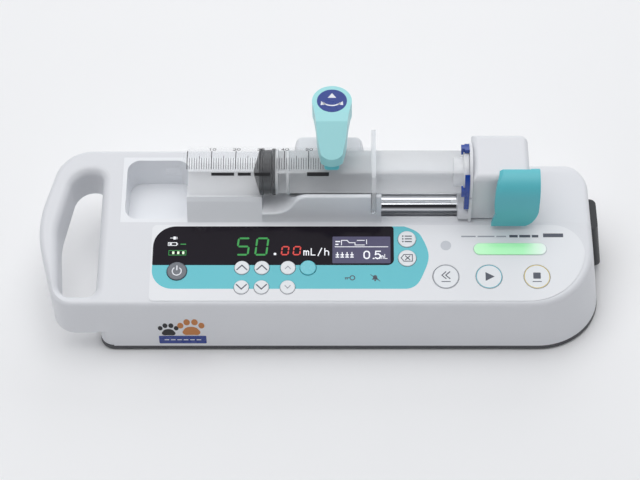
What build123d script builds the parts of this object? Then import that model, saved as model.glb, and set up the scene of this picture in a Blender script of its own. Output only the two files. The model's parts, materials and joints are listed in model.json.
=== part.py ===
from build123d import *
from math import cos, pi, radians, sin, tan
import os

# Syringe infusion pump: sloped front panel, syringe cradle, driven slider, clamp and carrying handle.
# Frame: origin under the middle of the pump on the table, +X to the slider end, +Y to the rear,
# +Z up. All lengths are millimetres; points in the side view are (Y, Z).

os.makedirs("parts", exist_ok=True)

# ---- housing -------------------------------------------------------------------------------------
PAN_BOTTOM = 1.4            # the feet lift the bottom pan by this much
RIM_TOP = 4.2               # joint between bottom pan and upper case
WALL = 2.5                  # moulded wall
FRONT_Y, REAR_Y = -57.5, 54.8
RIGHT_X, LEFT_X = 175.2, -139.3
FRONT_DRAFT = 0.0935        # how far the front wall leans back per mm of height
RIGHT_DRAFT = 0.14
CORNER_FRONT, CORNER_REAR, CORNER_LEFT = 40.0, 24.0, 9.0
LOFT_TOP = 72.0

SLOPE = 10.5                # tilt of the front panel, degrees
PANEL_Y, PANEL_Z = -53.5, 42.8    # front upper edge of the case
CREASE_Y = 2.5              # the sloped panel ends here and the flat deck starts
BLOCK_END_X = 36.7          # right end of the raised syringe block
CASE_ROUND, DECK_REAR_ROUND = 3.2, 12.0
LIP_H = 3.6                 # lip of the bottom pan inside the upper case
SCREW_POINTS = [(-130.0, -46.0), (-131.5, 46.0), (20.0, -48.5), (48.0, 47.5), (151.0, -28.0),
                (148.0, 36.0)]
BOSS_R, SCREW_SHANK_R = 4.2, 1.5
SCREW_HEAD_R, SCREW_HEAD_H, SCREW_DEPTH = 3.0, 1.4, 10.0
FOOT_POINTS, FOOT_R = [(-118.0, -40.0), (-118.0, 38.0), (132.0, -38.0), (132.0, 36.0)], 7.0
INLET_X, INLET_Z = (96.0, 124.0), (12.0, 34.0)
DOOR_X, DOOR_Y = (-92.0, 10.0), (-49.0, -18.0)
SPEAKER_X, SPEAKER_Y = 110.0, -38.0
COVER_T, COVER_CORNER = 4.4, 4.0
COVER_Y, COVER_Z = (3.0, 27.0), (8.0, 46.0)
ABOVE = 140.0               # height that clears everything

# ---- handle --------------------------------------------------------------------------------------
HANDLE_UNDER, HANDLE_RISE = 14.6, 0.235     # underside's height at the front, its rise per mm to the rear
HANDLE_COVER = 2.5
HANDLE_OUT = [(-165.0, REAR_Y, 24.0), (-179.6, -0.5, 70.0), (-163.8, FRONT_Y, 14.0)]
HANDLE_FRONT_INSET = 4.2    # keeps the hollow clear of the leaning front wall
HOLE = [(LEFT_X, 38.5, 6.0), (-157.0, 39.5, 13.0), (-165.8, -0.5, 42.0),
        (-162.0, -45.5, 8.0), (LEFT_X, -45.5, 6.0)]
HOLE_BLOCK = ((-172.0, -130.0), (-51.0, 47.0), (0.0, 90.0))      # the hole is cut and rounded in it
HOLE_ROUND = 5.5

# ---- syringe, 50 ml ------------------------------------------------------------------------------
SYR_Y, SYR_Z = 20.5, 81.0
BARREL_R, BARREL_BORE = 15.6, 14.6
BARREL_X = -84.3            # front shoulder
NOZZLE_X = -97.3
FLANGE_X, FLANGE_T, FLANGE_R, FLANGE_HALF = 30.6, 2.6, 26.0, 17.5
SEAL_X, SEAL_LENGTH = -38.5, 9.9
THUMB_X, THUMB_T, THUMB_R = 87.4, 3.0, 15.0
ROD_RIB, ROD_RIB_T, ROD_TURN = 13.2, 1.8, 40.0

# ---- tray and cradle -----------------------------------------------------------------------------
TRAY_X = (-126.4, BLOCK_END_X)
TRAY_Y = (2.7, 48.5)
TROUGH_FLOOR = 38.0
CRADLE_FLOOR = 61.5
SCOOP_X = (-37.5, -9.0)
RIDGE_Z = 78.0
CRADLE_R = 15.75
CRADLE_REAR_Y = 38.2
TROUGH_WALL = 2.2

# ---- slider --------------------------------------------------------------------------------------
TUBE_Y, TUBE_Z, TUBE_R, TUBE_BORE = 16.5, 52.7, 5.7, 4.4
TUBE_X = (-34.0, 96.0)
CHANNEL_X, CHANNEL_Y, CHANNEL_FLOOR = (BLOCK_END_X, 132.5), (7.5, 25.5), 44.0
FACE_X, FACE_FOOT_X, FACE_FOOT_TOP = (90.8, 92.6), 84.4, 62.5
HEAD_X, HEAD_Y, HEAD_Z = (92.6, 127.6), (5.0, 41.0), (54.5, 94.0)
SLEEVE_R = 7.7
BUSH_X, BUSH_R = (28.0, BLOCK_END_X), 7.6
FACE_R = 18.0               # round upper part of the slider's face, about the syringe axis
FRONT_HOOK_PIVOT = (4.5, 68.0)
HOOK_X = (FACE_X[0] - 3.1, FACE_X[0] - 0.1)
HOOK_R, HOOK_LIP_R = (15.8, 18.6), 13.8
LEVER_PIN = (10.0, 89.0)    # Y, Z of the clutch lever's pin
LEVER_PIN_R = 2.5
LEVER_X = (105.0, 133.4)
LEVER_OUTER = [(9.6, 96.4), (3.0, 95.4), (-3.0, 90.2), (-5.2, 81.0), (-4.6, 70.0), (-3.4, 57.0)]
LEVER_CHEEK = [(9.6, 95.5), (3.4, 94.2), (-1.9, 89.1), (-3.8, 80.5), (-3.4, 70.0), (0.0, 66.0),
               (13.4, 87.0), (13.4, 91.5), (11.6, 94.6)]
LEVER_INNER = [(-0.9, 57.0), (-1.9, 70.0), (-2.4, 80.0), (-0.8, 88.0), (3.8, 93.0), (9.6, 94.6)]

# ---- drive ---------------------------------------------------------------------------------------
SCREW_Y, SCREW_Z, SCREW_R, SCREW_LEAD = 16.5, 22.0, 4.0, 4.0
SCREW_X = (-86.0, 34.0)
GUIDE_Y, GUIDE_Z, GUIDE_R = 37.0, 24.0, 4.0
MOTOR_Y, MOTOR_Z, MOTOR_SIDE = 37.0, 21.5, 26.0
MOTOR_X = (-124.0, -100.0)
BELT_X, BELT_W = -93.5, 5.0
SCREW_PULLEY_R, MOTOR_PULLEY_R = 10.0, 5.0
BELT_T = 1.2

# ---- clamp ---------------------------------------------------------------------------------------
CLAMP_X, CLAMP_Y = 6.3, 44.0
CLAMP_ROD_R = 4.0
CLAMP_ROD_Z = (34.0, 112.0)
CLAMP_BUSH_R, SPRING_R, SPRING_TOP = 5.4, 5.6, 56.0
TOWER_X, TOWER_TOP = 4.0, 78.0
HEAD_R, HEAD_TOP = 12.2, 120.5
PAD_Z = 97.0

# ---- control panel -------------------------------------------------------------------------------
SHEET_T = 0.4
SHEET_X = (-106.0, 163.0)
SHEET_Y = (-51.0, 0.6)
WINDOW_X, WINDOW_Y = (-105.0, 44.5), (-27.0, -0.4)
TEAL_Y = -43.0
KEY_GAP = 0.25
KEY_PROUD, KEY_EDGE = 1.1, 0.5
KEY_DEPTH = 2.7
BOARD_GAP = 3.3             # panel surface to the switch tops
SWITCH_H, SWITCH_SIDE, SWITCH_PLUNGER_H = 2.6, 6.0, 0.6
BOARD_T = 1.6
KEYS = {
    "power_key": (-89.5, -31.2, 6.2),
    "up_key_tens": (-49.4, -28.9, 4.65),
    "up_key_ones": (-37.1, -28.9, 4.65),
    "up_key_tenths": (-21.0, -28.9, 4.65),
    "down_key_tens": (-49.4, -42.0, 4.65),
    "down_key_ones": (-37.1, -42.0, 4.65),
    "down_key_tenths": (-21.0, -42.0, 4.65),
    "menu_key": (-8.6, -28.9, 5.0),
    "display_key": (52.7, -9.4, 5.6),
    "clear_key": (52.7, -22.4, 5.6),
    "bolus_key": (76.4, -34.8, 8.1),
    "start_key": (103.0, -34.8, 8.1),
    "stop_key": (132.5, -34.8, 8.1),
}
FLAT_KEYS, FLAT_KEY_PROUD = ("bolus_key", "start_key", "stop_key"), 0.6
LIGHT_X, LIGHT_Y, LIGHT_H = (94.2, 139.0), -16.0, 7.6
WINDOW_OPENING = (-30.0, -13.4, 144.0, 20.0)       # middle, length and height of the display cut-out
LIGHT_OPENING = (sum(LIGHT_X) / 2, LIGHT_Y, LIGHT_X[1] - LIGHT_X[0] - 2, LIGHT_H - 2)


def panel_z(y):
    """Height of the sloped panel surface at depth y."""
    return PANEL_Z + (y - PANEL_Y) * tan(radians(SLOPE))


def panel_at(x, y, lift=0.0):
    """Plane on the sloped panel with its origin above (x, y), raised by lift along its normal."""
    tilt = radians(SLOPE)
    plane = Plane(origin=(x, y, panel_z(y)), x_dir=(1, 0, 0), z_dir=(0, -sin(tilt), cos(tilt)))
    return plane.offset(lift)


def along_panel(y):
    """Distance up the slope from the panel's middle line to depth y."""
    return (y - PANEL_MID) / cos(radians(SLOPE))


PANEL_MID = (SHEET_Y[0] + SHEET_Y[1]) / 2
DECK_Z = panel_z(CREASE_Y)


def body_corners(z, inset=0.0):
    """Plan corners (x, y, radius) of the main body at height z."""
    front = FRONT_Y + FRONT_DRAFT * z + inset
    right = RIGHT_X - RIGHT_DRAFT * z - inset
    left, rear = LEFT_X + inset, REAR_Y - inset
    return [(left, front, CORNER_LEFT - inset), (right, front, CORNER_FRONT - inset),
            (right, rear, CORNER_REAR - inset), (left, rear, CORNER_LEFT - inset)]


def case_corners(z):
    """Plan corners of body and handle together at height z."""
    front = FRONT_Y + FRONT_DRAFT * z
    right_side = body_corners(z)[1:3]
    *handle_side, front_left = HANDLE_OUT
    return [*right_side, *handle_side, (front_left[0], front, front_left[2])]


def plan_face(corners, z, grow=0.0):
    """Face with rounded corners (x, y, radius) at height z, its outline moved out by grow."""
    with BuildSketch(Plane.XY.offset(z)) as face:
        with BuildLine():
            FilletPolyline(*[c[:2] for c in corners], radius=[c[2] for c in corners], close=True)
        make_face()
        if grow:
            offset(amount=grow, kind=Kind.INTERSECTION, mode=Mode.REPLACE)
    return face.sketch.face()


def prism_x(points, x_from, x_to):
    """Solid whose YZ outline runs from x_from to x_to."""
    with BuildPart() as prism:
        with BuildSketch(Plane.YZ.offset(x_from)):
            with BuildLine():
                Polyline(*points, close=True)
            make_face()
        extrude(amount=x_to - x_from)
    return prism.part


def span(x, y, z, mode=Mode.ADD):
    """Box given by its ranges, in the part being built."""
    middle = tuple((a + b) / 2 for a, b in (x, y, z))
    with Locations(middle):
        Box(x[1] - x[0], y[1] - y[0], z[1] - z[0], mode=mode)


def rod_x(x, y, z, radius, mode=Mode.ADD):
    """Cylinder along X given by its range and axis."""
    with Locations(((x[0] + x[1]) / 2, y, z)):
        Cylinder(radius, x[1] - x[0], rotation=(0, 90, 0), mode=mode)


def rod_z(x, y, z, radius, mode=Mode.ADD):
    """Cylinder along Z given by its axis and range."""
    with Locations((x, y, (z[0] + z[1]) / 2)):
        Cylinder(radius, z[1] - z[0], mode=mode)


def lowest_first(face):
    """Sorting key that puts the handle's sloped underside first."""
    middle = face.center()
    return middle.Z - middle.Y * HANDLE_RISE


def save(piece, name):
    piece.part.label = name
    export_step(piece.part, f"parts/{name}.step")


# ---- upper case ----------------------------------------------------------------------------------
def over_panel(drop, x_from, x_to):
    """Everything above the sloped panel's plane lowered by drop."""
    near, far = -80.0, 80.0
    points = [(near, panel_z(near) - drop), (far, panel_z(far) - drop), (far, ABOVE), (near, ABOVE)]
    return prism_x(points, x_from, x_to)


def under_handle_plane(lift, x_to):
    """Everything under the handle's sloped underside raised by lift."""
    near, far = [(y, HANDLE_UNDER + (y - FRONT_Y) * HANDLE_RISE + lift) for y in (-90.0, 90.0)]
    return prism_x([(near[0], -30.0), near, far, (far[0], -30.0)], -220, x_to)


def over_deck(drop, x_from, x_to):
    """Everything above panel and flat deck lowered by drop, with the deck rounded down at the rear."""
    near, far, level, rear = -80.0, 80.0, DECK_Z - drop, REAR_Y - drop
    with BuildPart() as prism:
        with BuildSketch(Plane.YZ.offset(x_from)):
            with BuildLine():
                Polyline((rear, level - DECK_REAR_ROUND), (far, level - DECK_REAR_ROUND), (far, ABOVE),
                         (near, ABOVE), (near, panel_z(near) - drop), (CREASE_Y, level),
                         (rear - DECK_REAR_ROUND, level))
                RadiusArc((rear - DECK_REAR_ROUND, level), (rear, level - DECK_REAR_ROUND),
                          DECK_REAR_ROUND)
            make_face()
        extrude(amount=x_to - x_from)
    return prism.part


def surface_z(point):
    """Height of the case's top surface under a point."""
    raised = point.X < BLOCK_END_X - 0.01 or point.Y < CREASE_Y
    return panel_z(point.Y) if raised else DECK_Z


def on_surface(edge):
    """True if an edge lies in the case's top surface."""
    points = [edge.position_at(t) for t in (0.02, 0.5, 0.98)]
    return all(abs(p.Z - surface_z(p)) < 0.05 for p in points)


def at_hole(edge):
    """True if an edge belongs to the handle's opening."""
    middle = edge.center()
    return -166.5 < middle.X < LEFT_X + 0.5 and HOLE[-1][1] - 1 < middle.Y < HOLE[1][1] + 1


def on_crease(edge):
    """True for the inner edges between panel, deck and raised block."""
    middle = edge.center()
    across = edge.geom_type == GeomType.LINE and edge.length > 100
    return abs(middle.X - BLOCK_END_X) < 0.1 or (across and PANEL_Y + 5 < middle.Y < REAR_Y - 5)


with BuildPart() as body_hollow:
    loft([plan_face(body_corners(level, WALL), level) for level in (RIM_TOP - 1, LOFT_TOP)], ruled=True)
    add(over_panel(WALL, -200, BLOCK_END_X - WALL), mode=Mode.SUBTRACT)
    add(over_deck(WALL, BLOCK_END_X - WALL, 200), mode=Mode.SUBTRACT)
    for x, y in SCREW_POINTS:
        rod_z(x, y, (0, LOFT_TOP), BOSS_R, mode=Mode.SUBTRACT)

with BuildPart() as handle_hollow:
    front = FRONT_Y + HANDLE_FRONT_INSET
    *handle_side, front_left = HANDLE_OUT
    ring = [(LEFT_X - WALL, REAR_Y, 3.0), *handle_side, (front_left[0], front, front_left[2]),
            (LEFT_X - WALL, front, 3.0)]
    extrude(plan_face(ring, 0, -WALL), amount=ABOVE)
    extrude(plan_face(HOLE, 0, WALL), amount=ABOVE, mode=Mode.SUBTRACT)
    add(over_panel(WALL, -200, LEFT_X), mode=Mode.SUBTRACT)

with BuildPart() as under_handle:
    add(under_handle_plane(HANDLE_COVER, LEFT_X + CORNER_LEFT))
    near, far = FRONT_Y + 1.0, REAR_Y + 0.05
    footprint = [(LEFT_X, near, CORNER_LEFT), (0, near, 1.0), (0, far, 1.0), (LEFT_X, far, CORNER_LEFT)]
    extrude(plan_face(footprint, 0), amount=ABOVE, mode=Mode.SUBTRACT)

with BuildPart() as hole_surround:
    span(*HOLE_BLOCK)
    add(over_panel(0, -200, 0), mode=Mode.SUBTRACT)
    extrude(plan_face(HOLE, 0), amount=ABOVE, mode=Mode.SUBTRACT)
    fillet([e for e in hole_surround.edges() if on_surface(e) and at_hole(e)], HOLE_ROUND)

with BuildPart() as hole_plug:
    span(*HOLE_BLOCK)
    add(over_panel(0, -200, 0), mode=Mode.SUBTRACT)
    add(hole_surround.part, mode=Mode.SUBTRACT)

with BuildPart() as upper_case:
    loft([plan_face(case_corners(level), level) for level in (RIM_TOP, LOFT_TOP)], ruled=True)
    add(under_handle.part, mode=Mode.SUBTRACT)
    add(over_panel(0, -200, BLOCK_END_X), mode=Mode.SUBTRACT)
    add(over_deck(0, BLOCK_END_X, 200), mode=Mode.SUBTRACT)
    fillet([e for e in upper_case.edges() if on_surface(e) and not on_crease(e)], CASE_ROUND)
    add(hole_plug.part, mode=Mode.SUBTRACT)
    add(body_hollow.part, mode=Mode.SUBTRACT)
    add(handle_hollow.part, mode=Mode.SUBTRACT)
    # opening for the syringe tray, and the channel that the slider's tube runs over
    span(TRAY_X, TRAY_Y, (RIM_TOP + 20, 90), mode=Mode.SUBTRACT)
    span((CHANNEL_X[0] - WALL, CHANNEL_X[1] + WALL), (CHANNEL_Y[0] - WALL, CHANNEL_Y[1] + WALL),
         (CHANNEL_FLOOR - WALL, DECK_Z - 0.5))
    span((CHANNEL_X[0] - 10, CHANNEL_X[1]), CHANNEL_Y, (CHANNEL_FLOOR, 60), mode=Mode.SUBTRACT)
    span((BLOCK_END_X - 8, BLOCK_END_X), (CHANNEL_Y[0] - WALL, CHANNEL_Y[1] + WALL),
         (CHANNEL_FLOOR - WALL, 60), mode=Mode.SUBTRACT)
    # keys, display window and light bar
    for x, y, radius in KEYS.values():
        with Locations(panel_at(x, y, -WALL)):
            Cylinder(radius + KEY_GAP, 4 * WALL, mode=Mode.SUBTRACT)
    for x, y, length, height in (WINDOW_OPENING, LIGHT_OPENING):
        with Locations(panel_at(x, y, -WALL)):
            Box(length, height, 4 * WALL, mode=Mode.SUBTRACT)
    for x, y in SCREW_POINTS:
        rod_z(x, y, (RIM_TOP, RIM_TOP + SCREW_DEPTH), SCREW_SHANK_R, mode=Mode.SUBTRACT)
    # mains inlet
    span(INLET_X, (REAR_Y - 6, REAR_Y + 6), INLET_Z, mode=Mode.SUBTRACT)
save(upper_case, "upper_case")

# ---- handle cover --------------------------------------------------------------------------------
with BuildPart() as handle_cover:
    loft([plan_face(case_corners(level), level) for level in (RIM_TOP, LOFT_TOP)], ruled=True)
    add(under_handle_plane(HANDLE_COVER, 220), mode=Mode.INTERSECT)
    add(under_handle_plane(0, 220), mode=Mode.SUBTRACT)
    span((LEFT_X, 200), (-80, 80), (0, 90), mode=Mode.SUBTRACT)
    fillet(handle_cover.faces().sort_by(lowest_first)[0].outer_wire().edges().filter_by(
        lambda e: e.center().X < LEFT_X - 0.5), 1.8)
    extrude(plan_face(HOLE, 0), amount=90, mode=Mode.SUBTRACT)
save(handle_cover, "handle_cover")

# ---- bottom pan, feet and battery door -----------------------------------------------------------
with BuildPart() as bottom_pan:
    pan_levels = (PAN_BOTTOM, RIM_TOP)
    loft([plan_face(body_corners(level), level) for level in pan_levels], ruled=True)
    lip_top = RIM_TOP + LIP_H
    extrude(plan_face(body_corners(lip_top, WALL + 0.2), RIM_TOP), amount=LIP_H)
    pan_floor = RIM_TOP - 0.4
    extrude(plan_face(body_corners(lip_top, 2 * WALL), pan_floor), amount=2 * LIP_H, mode=Mode.SUBTRACT)
    span(DOOR_X, DOOR_Y, (0, 20), mode=Mode.SUBTRACT)
    for x, y in SCREW_POINTS:
        rod_z(x, y, (RIM_TOP - 0.4, 20), BOSS_R + 0.3, mode=Mode.SUBTRACT)
        rod_z(x, y, (RIM_TOP - 0.4, RIM_TOP), BOSS_R + 2)
        rod_z(x, y, (0, 20), SCREW_SHANK_R, mode=Mode.SUBTRACT)
        rod_z(x, y, (0, PAN_BOTTOM + SCREW_HEAD_H), SCREW_HEAD_R, mode=Mode.SUBTRACT)
    with Locations((SPEAKER_X, SPEAKER_Y, PAN_BOTTOM)):
        with PolarLocations(6.0, 8):
            Cylinder(1.2, 12, mode=Mode.SUBTRACT)
save(bottom_pan, "bottom_pan")

with BuildPart() as battery_door:
    door_x, door_y = (DOOR_X[0] + 0.2, DOOR_X[1] - 0.2), (DOOR_Y[0] + 0.2, DOOR_Y[1] - 0.2)
    span(door_x, door_y, (PAN_BOTTOM, RIM_TOP - 0.4))
    for x in (DOOR_X[0] + 12, DOOR_X[1] - 12):
        finger_y = (DOOR_Y[1] - 5, DOOR_Y[1] - 3)
        span((x - 5, x + 5), finger_y, (PAN_BOTTOM - 1, PAN_BOTTOM + 1), mode=Mode.SUBTRACT)
save(battery_door, "battery_door")

with BuildPart() as rubber_feet:
    for x, y in FOOT_POINTS:
        rod_z(x, y, (0, PAN_BOTTOM), FOOT_R)
    chamfer(rubber_feet.faces().group_by(Axis.Z)[0].edges(), 0.4)
save(rubber_feet, "rubber_feet")

with BuildPart() as case_screws:
    for x, y in SCREW_POINTS:
        head_top = PAN_BOTTOM + SCREW_HEAD_H
        rod_z(x, y, (PAN_BOTTOM + 0.1, head_top), SCREW_HEAD_R - 0.2)
        rod_z(x, y, (head_top, RIM_TOP + SCREW_DEPTH - 1), SCREW_SHANK_R - 0.05)
        with Locations((x, y, PAN_BOTTOM + 0.1)):
            Box(3.4, 0.6, 1.0, mode=Mode.SUBTRACT)
            Box(0.6, 3.4, 1.0, mode=Mode.SUBTRACT)
save(case_screws, "case_screws")

# ---- side cover and mains inlet ------------------------------------------------------------------
with BuildPart() as side_cover:
    shell_faces = []
    for level in COVER_Z:
        outer_x = RIGHT_X - RIGHT_DRAFT * level + COVER_T
        outline = [(RIGHT_X - 34, COVER_Y[0], 0.5), (outer_x, COVER_Y[0], COVER_CORNER),
                   (outer_x, COVER_Y[1], COVER_CORNER), (RIGHT_X - 34, COVER_Y[1], 0.5)]
        shell_faces.append(plan_face(outline, level))
    loft(shell_faces, ruled=True)
    plain = [plan_face(body_corners(level), level) for level in (COVER_Z[0] - 1, COVER_Z[1] + 1)]
    loft(plain, ruled=True, mode=Mode.SUBTRACT)
save(side_cover, "side_cover")

with BuildPart() as power_inlet:
    inlet_x, inlet_z = (INLET_X[0] + 0.1, INLET_X[1] - 0.1), (INLET_Z[0] + 0.1, INLET_Z[1] - 0.1)
    span(inlet_x, (REAR_Y - 20, REAR_Y), inlet_z)
    middle_x, middle_z = sum(INLET_X) / 2, sum(INLET_Z) / 2
    with BuildSketch(Plane.XZ.offset(-REAR_Y)) as socket:
        with Locations((middle_x, middle_z)):
            Rectangle(23.0, 15.5)
        chamfer(socket.vertices().group_by(Axis.Y)[-1], 4.0)
    extrude(amount=14, mode=Mode.SUBTRACT)
    for x in (middle_x - 7, middle_x, middle_x + 7):
        span((x - 1, x + 1), (REAR_Y - 15, REAR_Y - 3), (middle_z - 2, middle_z + 2))
save(power_inlet, "power_inlet")

# ---- syringe tray --------------------------------------------------------------------------------
cradle_x = (BARREL_X, BLOCK_END_X)
hollow_x, hollow_y = (BARREL_X + WALL, BUSH_X[0]), (TRAY_Y[0] + WALL, TRAY_Y[1] - WALL)
with BuildPart() as syringe_tray:
    # outer block up to the sloped surface, with the cradle standing above it
    span(TRAY_X, TRAY_Y, (TROUGH_FLOOR - WALL, 70))
    add(over_panel(0, -200, 200), mode=Mode.SUBTRACT)
    with BuildSketch(Plane.YZ.offset(cradle_x[0])):
        with BuildLine():
            Polyline((TRAY_Y[0], 50), (TRAY_Y[0], DECK_Z + 0.4), (8.5, 66.5), (10.5, 69.0),
                     (38.0, 69.0), (TRAY_Y[1], panel_z(TRAY_Y[1])), (TRAY_Y[1], 50), close=True)
        make_face()
    extrude(amount=SCOOP_X[0] - cradle_x[0])
    with BuildSketch(Plane.XZ.offset(-TRAY_Y[0])):
        with BuildLine():
            Polyline((SCOOP_X[0], 50), (SCOOP_X[0], CRADLE_FLOOR), (SCOOP_X[0] + 8, CRADLE_FLOOR + 0.4))
            Spline((SCOOP_X[0] + 8, CRADLE_FLOOR + 0.4), (SCOOP_X[0] + 18, CRADLE_FLOOR + 7),
                   (SCOOP_X[1], RIDGE_Z), tangents=((1, 0.15), (1, 0.05)))
            Polyline((SCOOP_X[1], RIDGE_Z), (BLOCK_END_X, RIDGE_Z), (BLOCK_END_X, 50), (SCOOP_X[0], 50))
        make_face()
    extrude(amount=-(CRADLE_REAR_Y - TRAY_Y[0]))
    fillet([e for e in syringe_tray.edges()
            if e.center().Z > 60 and abs(e.center().Y - TRAY_Y[0]) < 0.01 and e.center().X > SCOOP_X[0]], 1.2)
    # trough for the nozzle and its line, groove for the barrel, slot for the flange
    with BuildSketch(Plane.XY.offset(TROUGH_FLOOR)):
        with Locations(((TRAY_X[0] + BARREL_X) / 2 + WALL / 2, sum(TRAY_Y) / 2)):
            RectangleRounded(BARREL_X - TRAY_X[0] - WALL, TRAY_Y[1] - TRAY_Y[0] - 2 * TROUGH_WALL, 8.0)
    extrude(amount=60, mode=Mode.SUBTRACT)
    rod_x((BARREL_X - 1, FLANGE_X + 1), SYR_Y, SYR_Z, CRADLE_R, mode=Mode.SUBTRACT)
    rod_x((FLANGE_X - 1, BLOCK_END_X + 1), SYR_Y, SYR_Z, CRADLE_R, mode=Mode.SUBTRACT)
    slot_x = (FLANGE_X - 0.4, FLANGE_X + FLANGE_T + 0.4)
    span(slot_x, (-20, 50), (SYR_Z - FLANGE_HALF - 0.4, 120), mode=Mode.SUBTRACT)
    # room inside for the drive, and the guide wall for the slider's tube
    span(hollow_x, hollow_y, (TROUGH_FLOOR - WALL, DECK_Z - WALL), mode=Mode.SUBTRACT)
    upper_z = (DECK_Z - WALL - 1, CRADLE_FLOOR - 2.2)
    span(hollow_x, (hollow_y[0] + 3.0, hollow_y[1]), upper_z, mode=Mode.SUBTRACT)
    rod_x((BUSH_X[0] - 1, BLOCK_END_X + 1), TUBE_Y, TUBE_Z, BUSH_R, mode=Mode.SUBTRACT)
    rod_z(CLAMP_X, CLAMP_Y, (30, 90), CLAMP_ROD_R + 0.2, mode=Mode.SUBTRACT)
    rod_z(CLAMP_X, CLAMP_Y, (30, SPRING_TOP), SPRING_R + 2.0, mode=Mode.SUBTRACT)
save(syringe_tray, "syringe_tray")

with BuildPart() as tube_bushing:
    rod_x(BUSH_X, TUBE_Y, TUBE_Z, BUSH_R)
    rod_x((BUSH_X[0] - 3, BLOCK_END_X + 1), TUBE_Y, TUBE_Z, TUBE_R + 0.06, mode=Mode.SUBTRACT)
save(tube_bushing, "tube_bushing")

# ---- syringe -------------------------------------------------------------------------------------
def turned_x(points):
    """Solid of revolution about the syringe axis from (x, radius) points."""
    with BuildPart() as turned:
        with BuildSketch(Plane.XZ):
            with BuildLine():
                Polyline(*points, close=True)
            make_face()
        revolve(axis=Axis.X)
    return turned.part.moved(Location((0, SYR_Y, SYR_Z)))


flange_end = FLANGE_X + FLANGE_T
with BuildPart() as syringe_barrel:
    add(turned_x([(NOZZLE_X, 1.0), (NOZZLE_X, 2.1), (NOZZLE_X + 8.5, 2.6), (BARREL_X - 3.0, 3.4),
                  (BARREL_X - 1.0, 12.5), (BARREL_X + 1.5, BARREL_R), (flange_end, BARREL_R),
                  (flange_end, BARREL_BORE), (BARREL_X + 1.6, BARREL_BORE), (BARREL_X - 3.2, 1.0)]))
    with BuildSketch(Plane.YZ.offset(FLANGE_X)):
        with Locations((SYR_Y, SYR_Z)):
            Circle(FLANGE_R)
            Rectangle(2 * FLANGE_R, 2 * FLANGE_HALF, mode=Mode.INTERSECT)
            Circle(BARREL_BORE, mode=Mode.SUBTRACT)
    extrude(amount=FLANGE_T)
save(syringe_barrel, "syringe_barrel")

with BuildPart() as plunger:
    rod_start = SEAL_X + SEAL_LENGTH
    with BuildSketch(Plane.YZ.offset(rod_start)):
        with Locations((SYR_Y, SYR_Z)):
            Rectangle(2 * ROD_RIB, ROD_RIB_T, rotation=ROD_TURN)
            Rectangle(ROD_RIB_T, 2 * ROD_RIB, rotation=ROD_TURN)
    extrude(amount=THUMB_X - rod_start)
    rod_x((rod_start, rod_start + 1.6), SYR_Y, SYR_Z, BARREL_BORE - 0.6)
    rod_x((rod_start + 7, rod_start + 8.4), SYR_Y, SYR_Z, BARREL_BORE - 0.6)
    rod_x((THUMB_X, THUMB_X + THUMB_T), SYR_Y, SYR_Z, THUMB_R)
    rod_x((THUMB_X - 6, THUMB_X), SYR_Y, SYR_Z, 9.0)
save(plunger, "plunger")

seal_end = SEAL_X + SEAL_LENGTH
seal_r = BARREL_BORE - 0.08
with BuildPart() as plunger_seal:
    add(turned_x([(SEAL_X - 4.0, 0), (SEAL_X - 3.6, 2.2), (SEAL_X, seal_r - 0.3), (SEAL_X + 0.6, seal_r),
                  (SEAL_X + 2.0, seal_r), (SEAL_X + 2.5, seal_r - 0.9), (seal_end - 2.5, seal_r - 0.9),
                  (seal_end - 2.0, seal_r), (seal_end - 0.4, seal_r), (seal_end, seal_r - 0.3),
                  (seal_end, 0)]))
save(plunger_seal, "plunger_seal")

# ---- slider --------------------------------------------------------------------------------------
with BuildPart() as slider_tube:
    rod_x(TUBE_X, TUBE_Y, TUBE_Z, TUBE_R)
    rod_x((TUBE_X[0] - 1, TUBE_X[1] + 1), TUBE_Y, TUBE_Z, TUBE_BORE, mode=Mode.SUBTRACT)
save(slider_tube, "slider_tube")

with BuildPart() as slider_head:
    near, far = HEAD_Y
    outline = [(HEAD_X[0], near, 0.5), (HEAD_X[1], near, 5.0), (HEAD_X[1], far, 5.0), (HEAD_X[0], far, 0.5)]
    extrude(plan_face(outline, HEAD_Z[0]), amount=HEAD_Z[1] - HEAD_Z[0])
    fillet(slider_head.faces().sort_by(Axis.Z)[-1].outer_wire().edges().filter_by(
        lambda e: e.center().X > HEAD_X[0] + 0.6), 4.0)
    rod_x((FACE_X[1], TUBE_X[1] + 1), TUBE_Y, TUBE_Z, SLEEVE_R)
    inner_y, inner_z = (SYR_Y - 12.5, SYR_Y + 12.5), (TUBE_Z + SLEEVE_R + 0.5, SYR_Z + 9.0)
    span((HEAD_X[0], HEAD_X[1] - WALL), inner_y, inner_z, mode=Mode.SUBTRACT)
    rod_x((FACE_X[1] - 1, TUBE_X[1]), TUBE_Y, TUBE_Z, TUBE_R, mode=Mode.SUBTRACT)
    rod_x((TUBE_X[1] - 1, TUBE_X[1] + 7), TUBE_Y, TUBE_Z, 3.2, mode=Mode.SUBTRACT)
    rod_x((TUBE_X[1] + 1, TUBE_X[1] + 7), TUBE_Y, TUBE_Z, 4.6, mode=Mode.SUBTRACT)
    rod_x((HEAD_X[1] - 9.5, HEAD_X[1] + 1), *LEVER_PIN, LEVER_PIN_R, mode=Mode.SUBTRACT)
save(slider_head, "slider_head")

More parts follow.
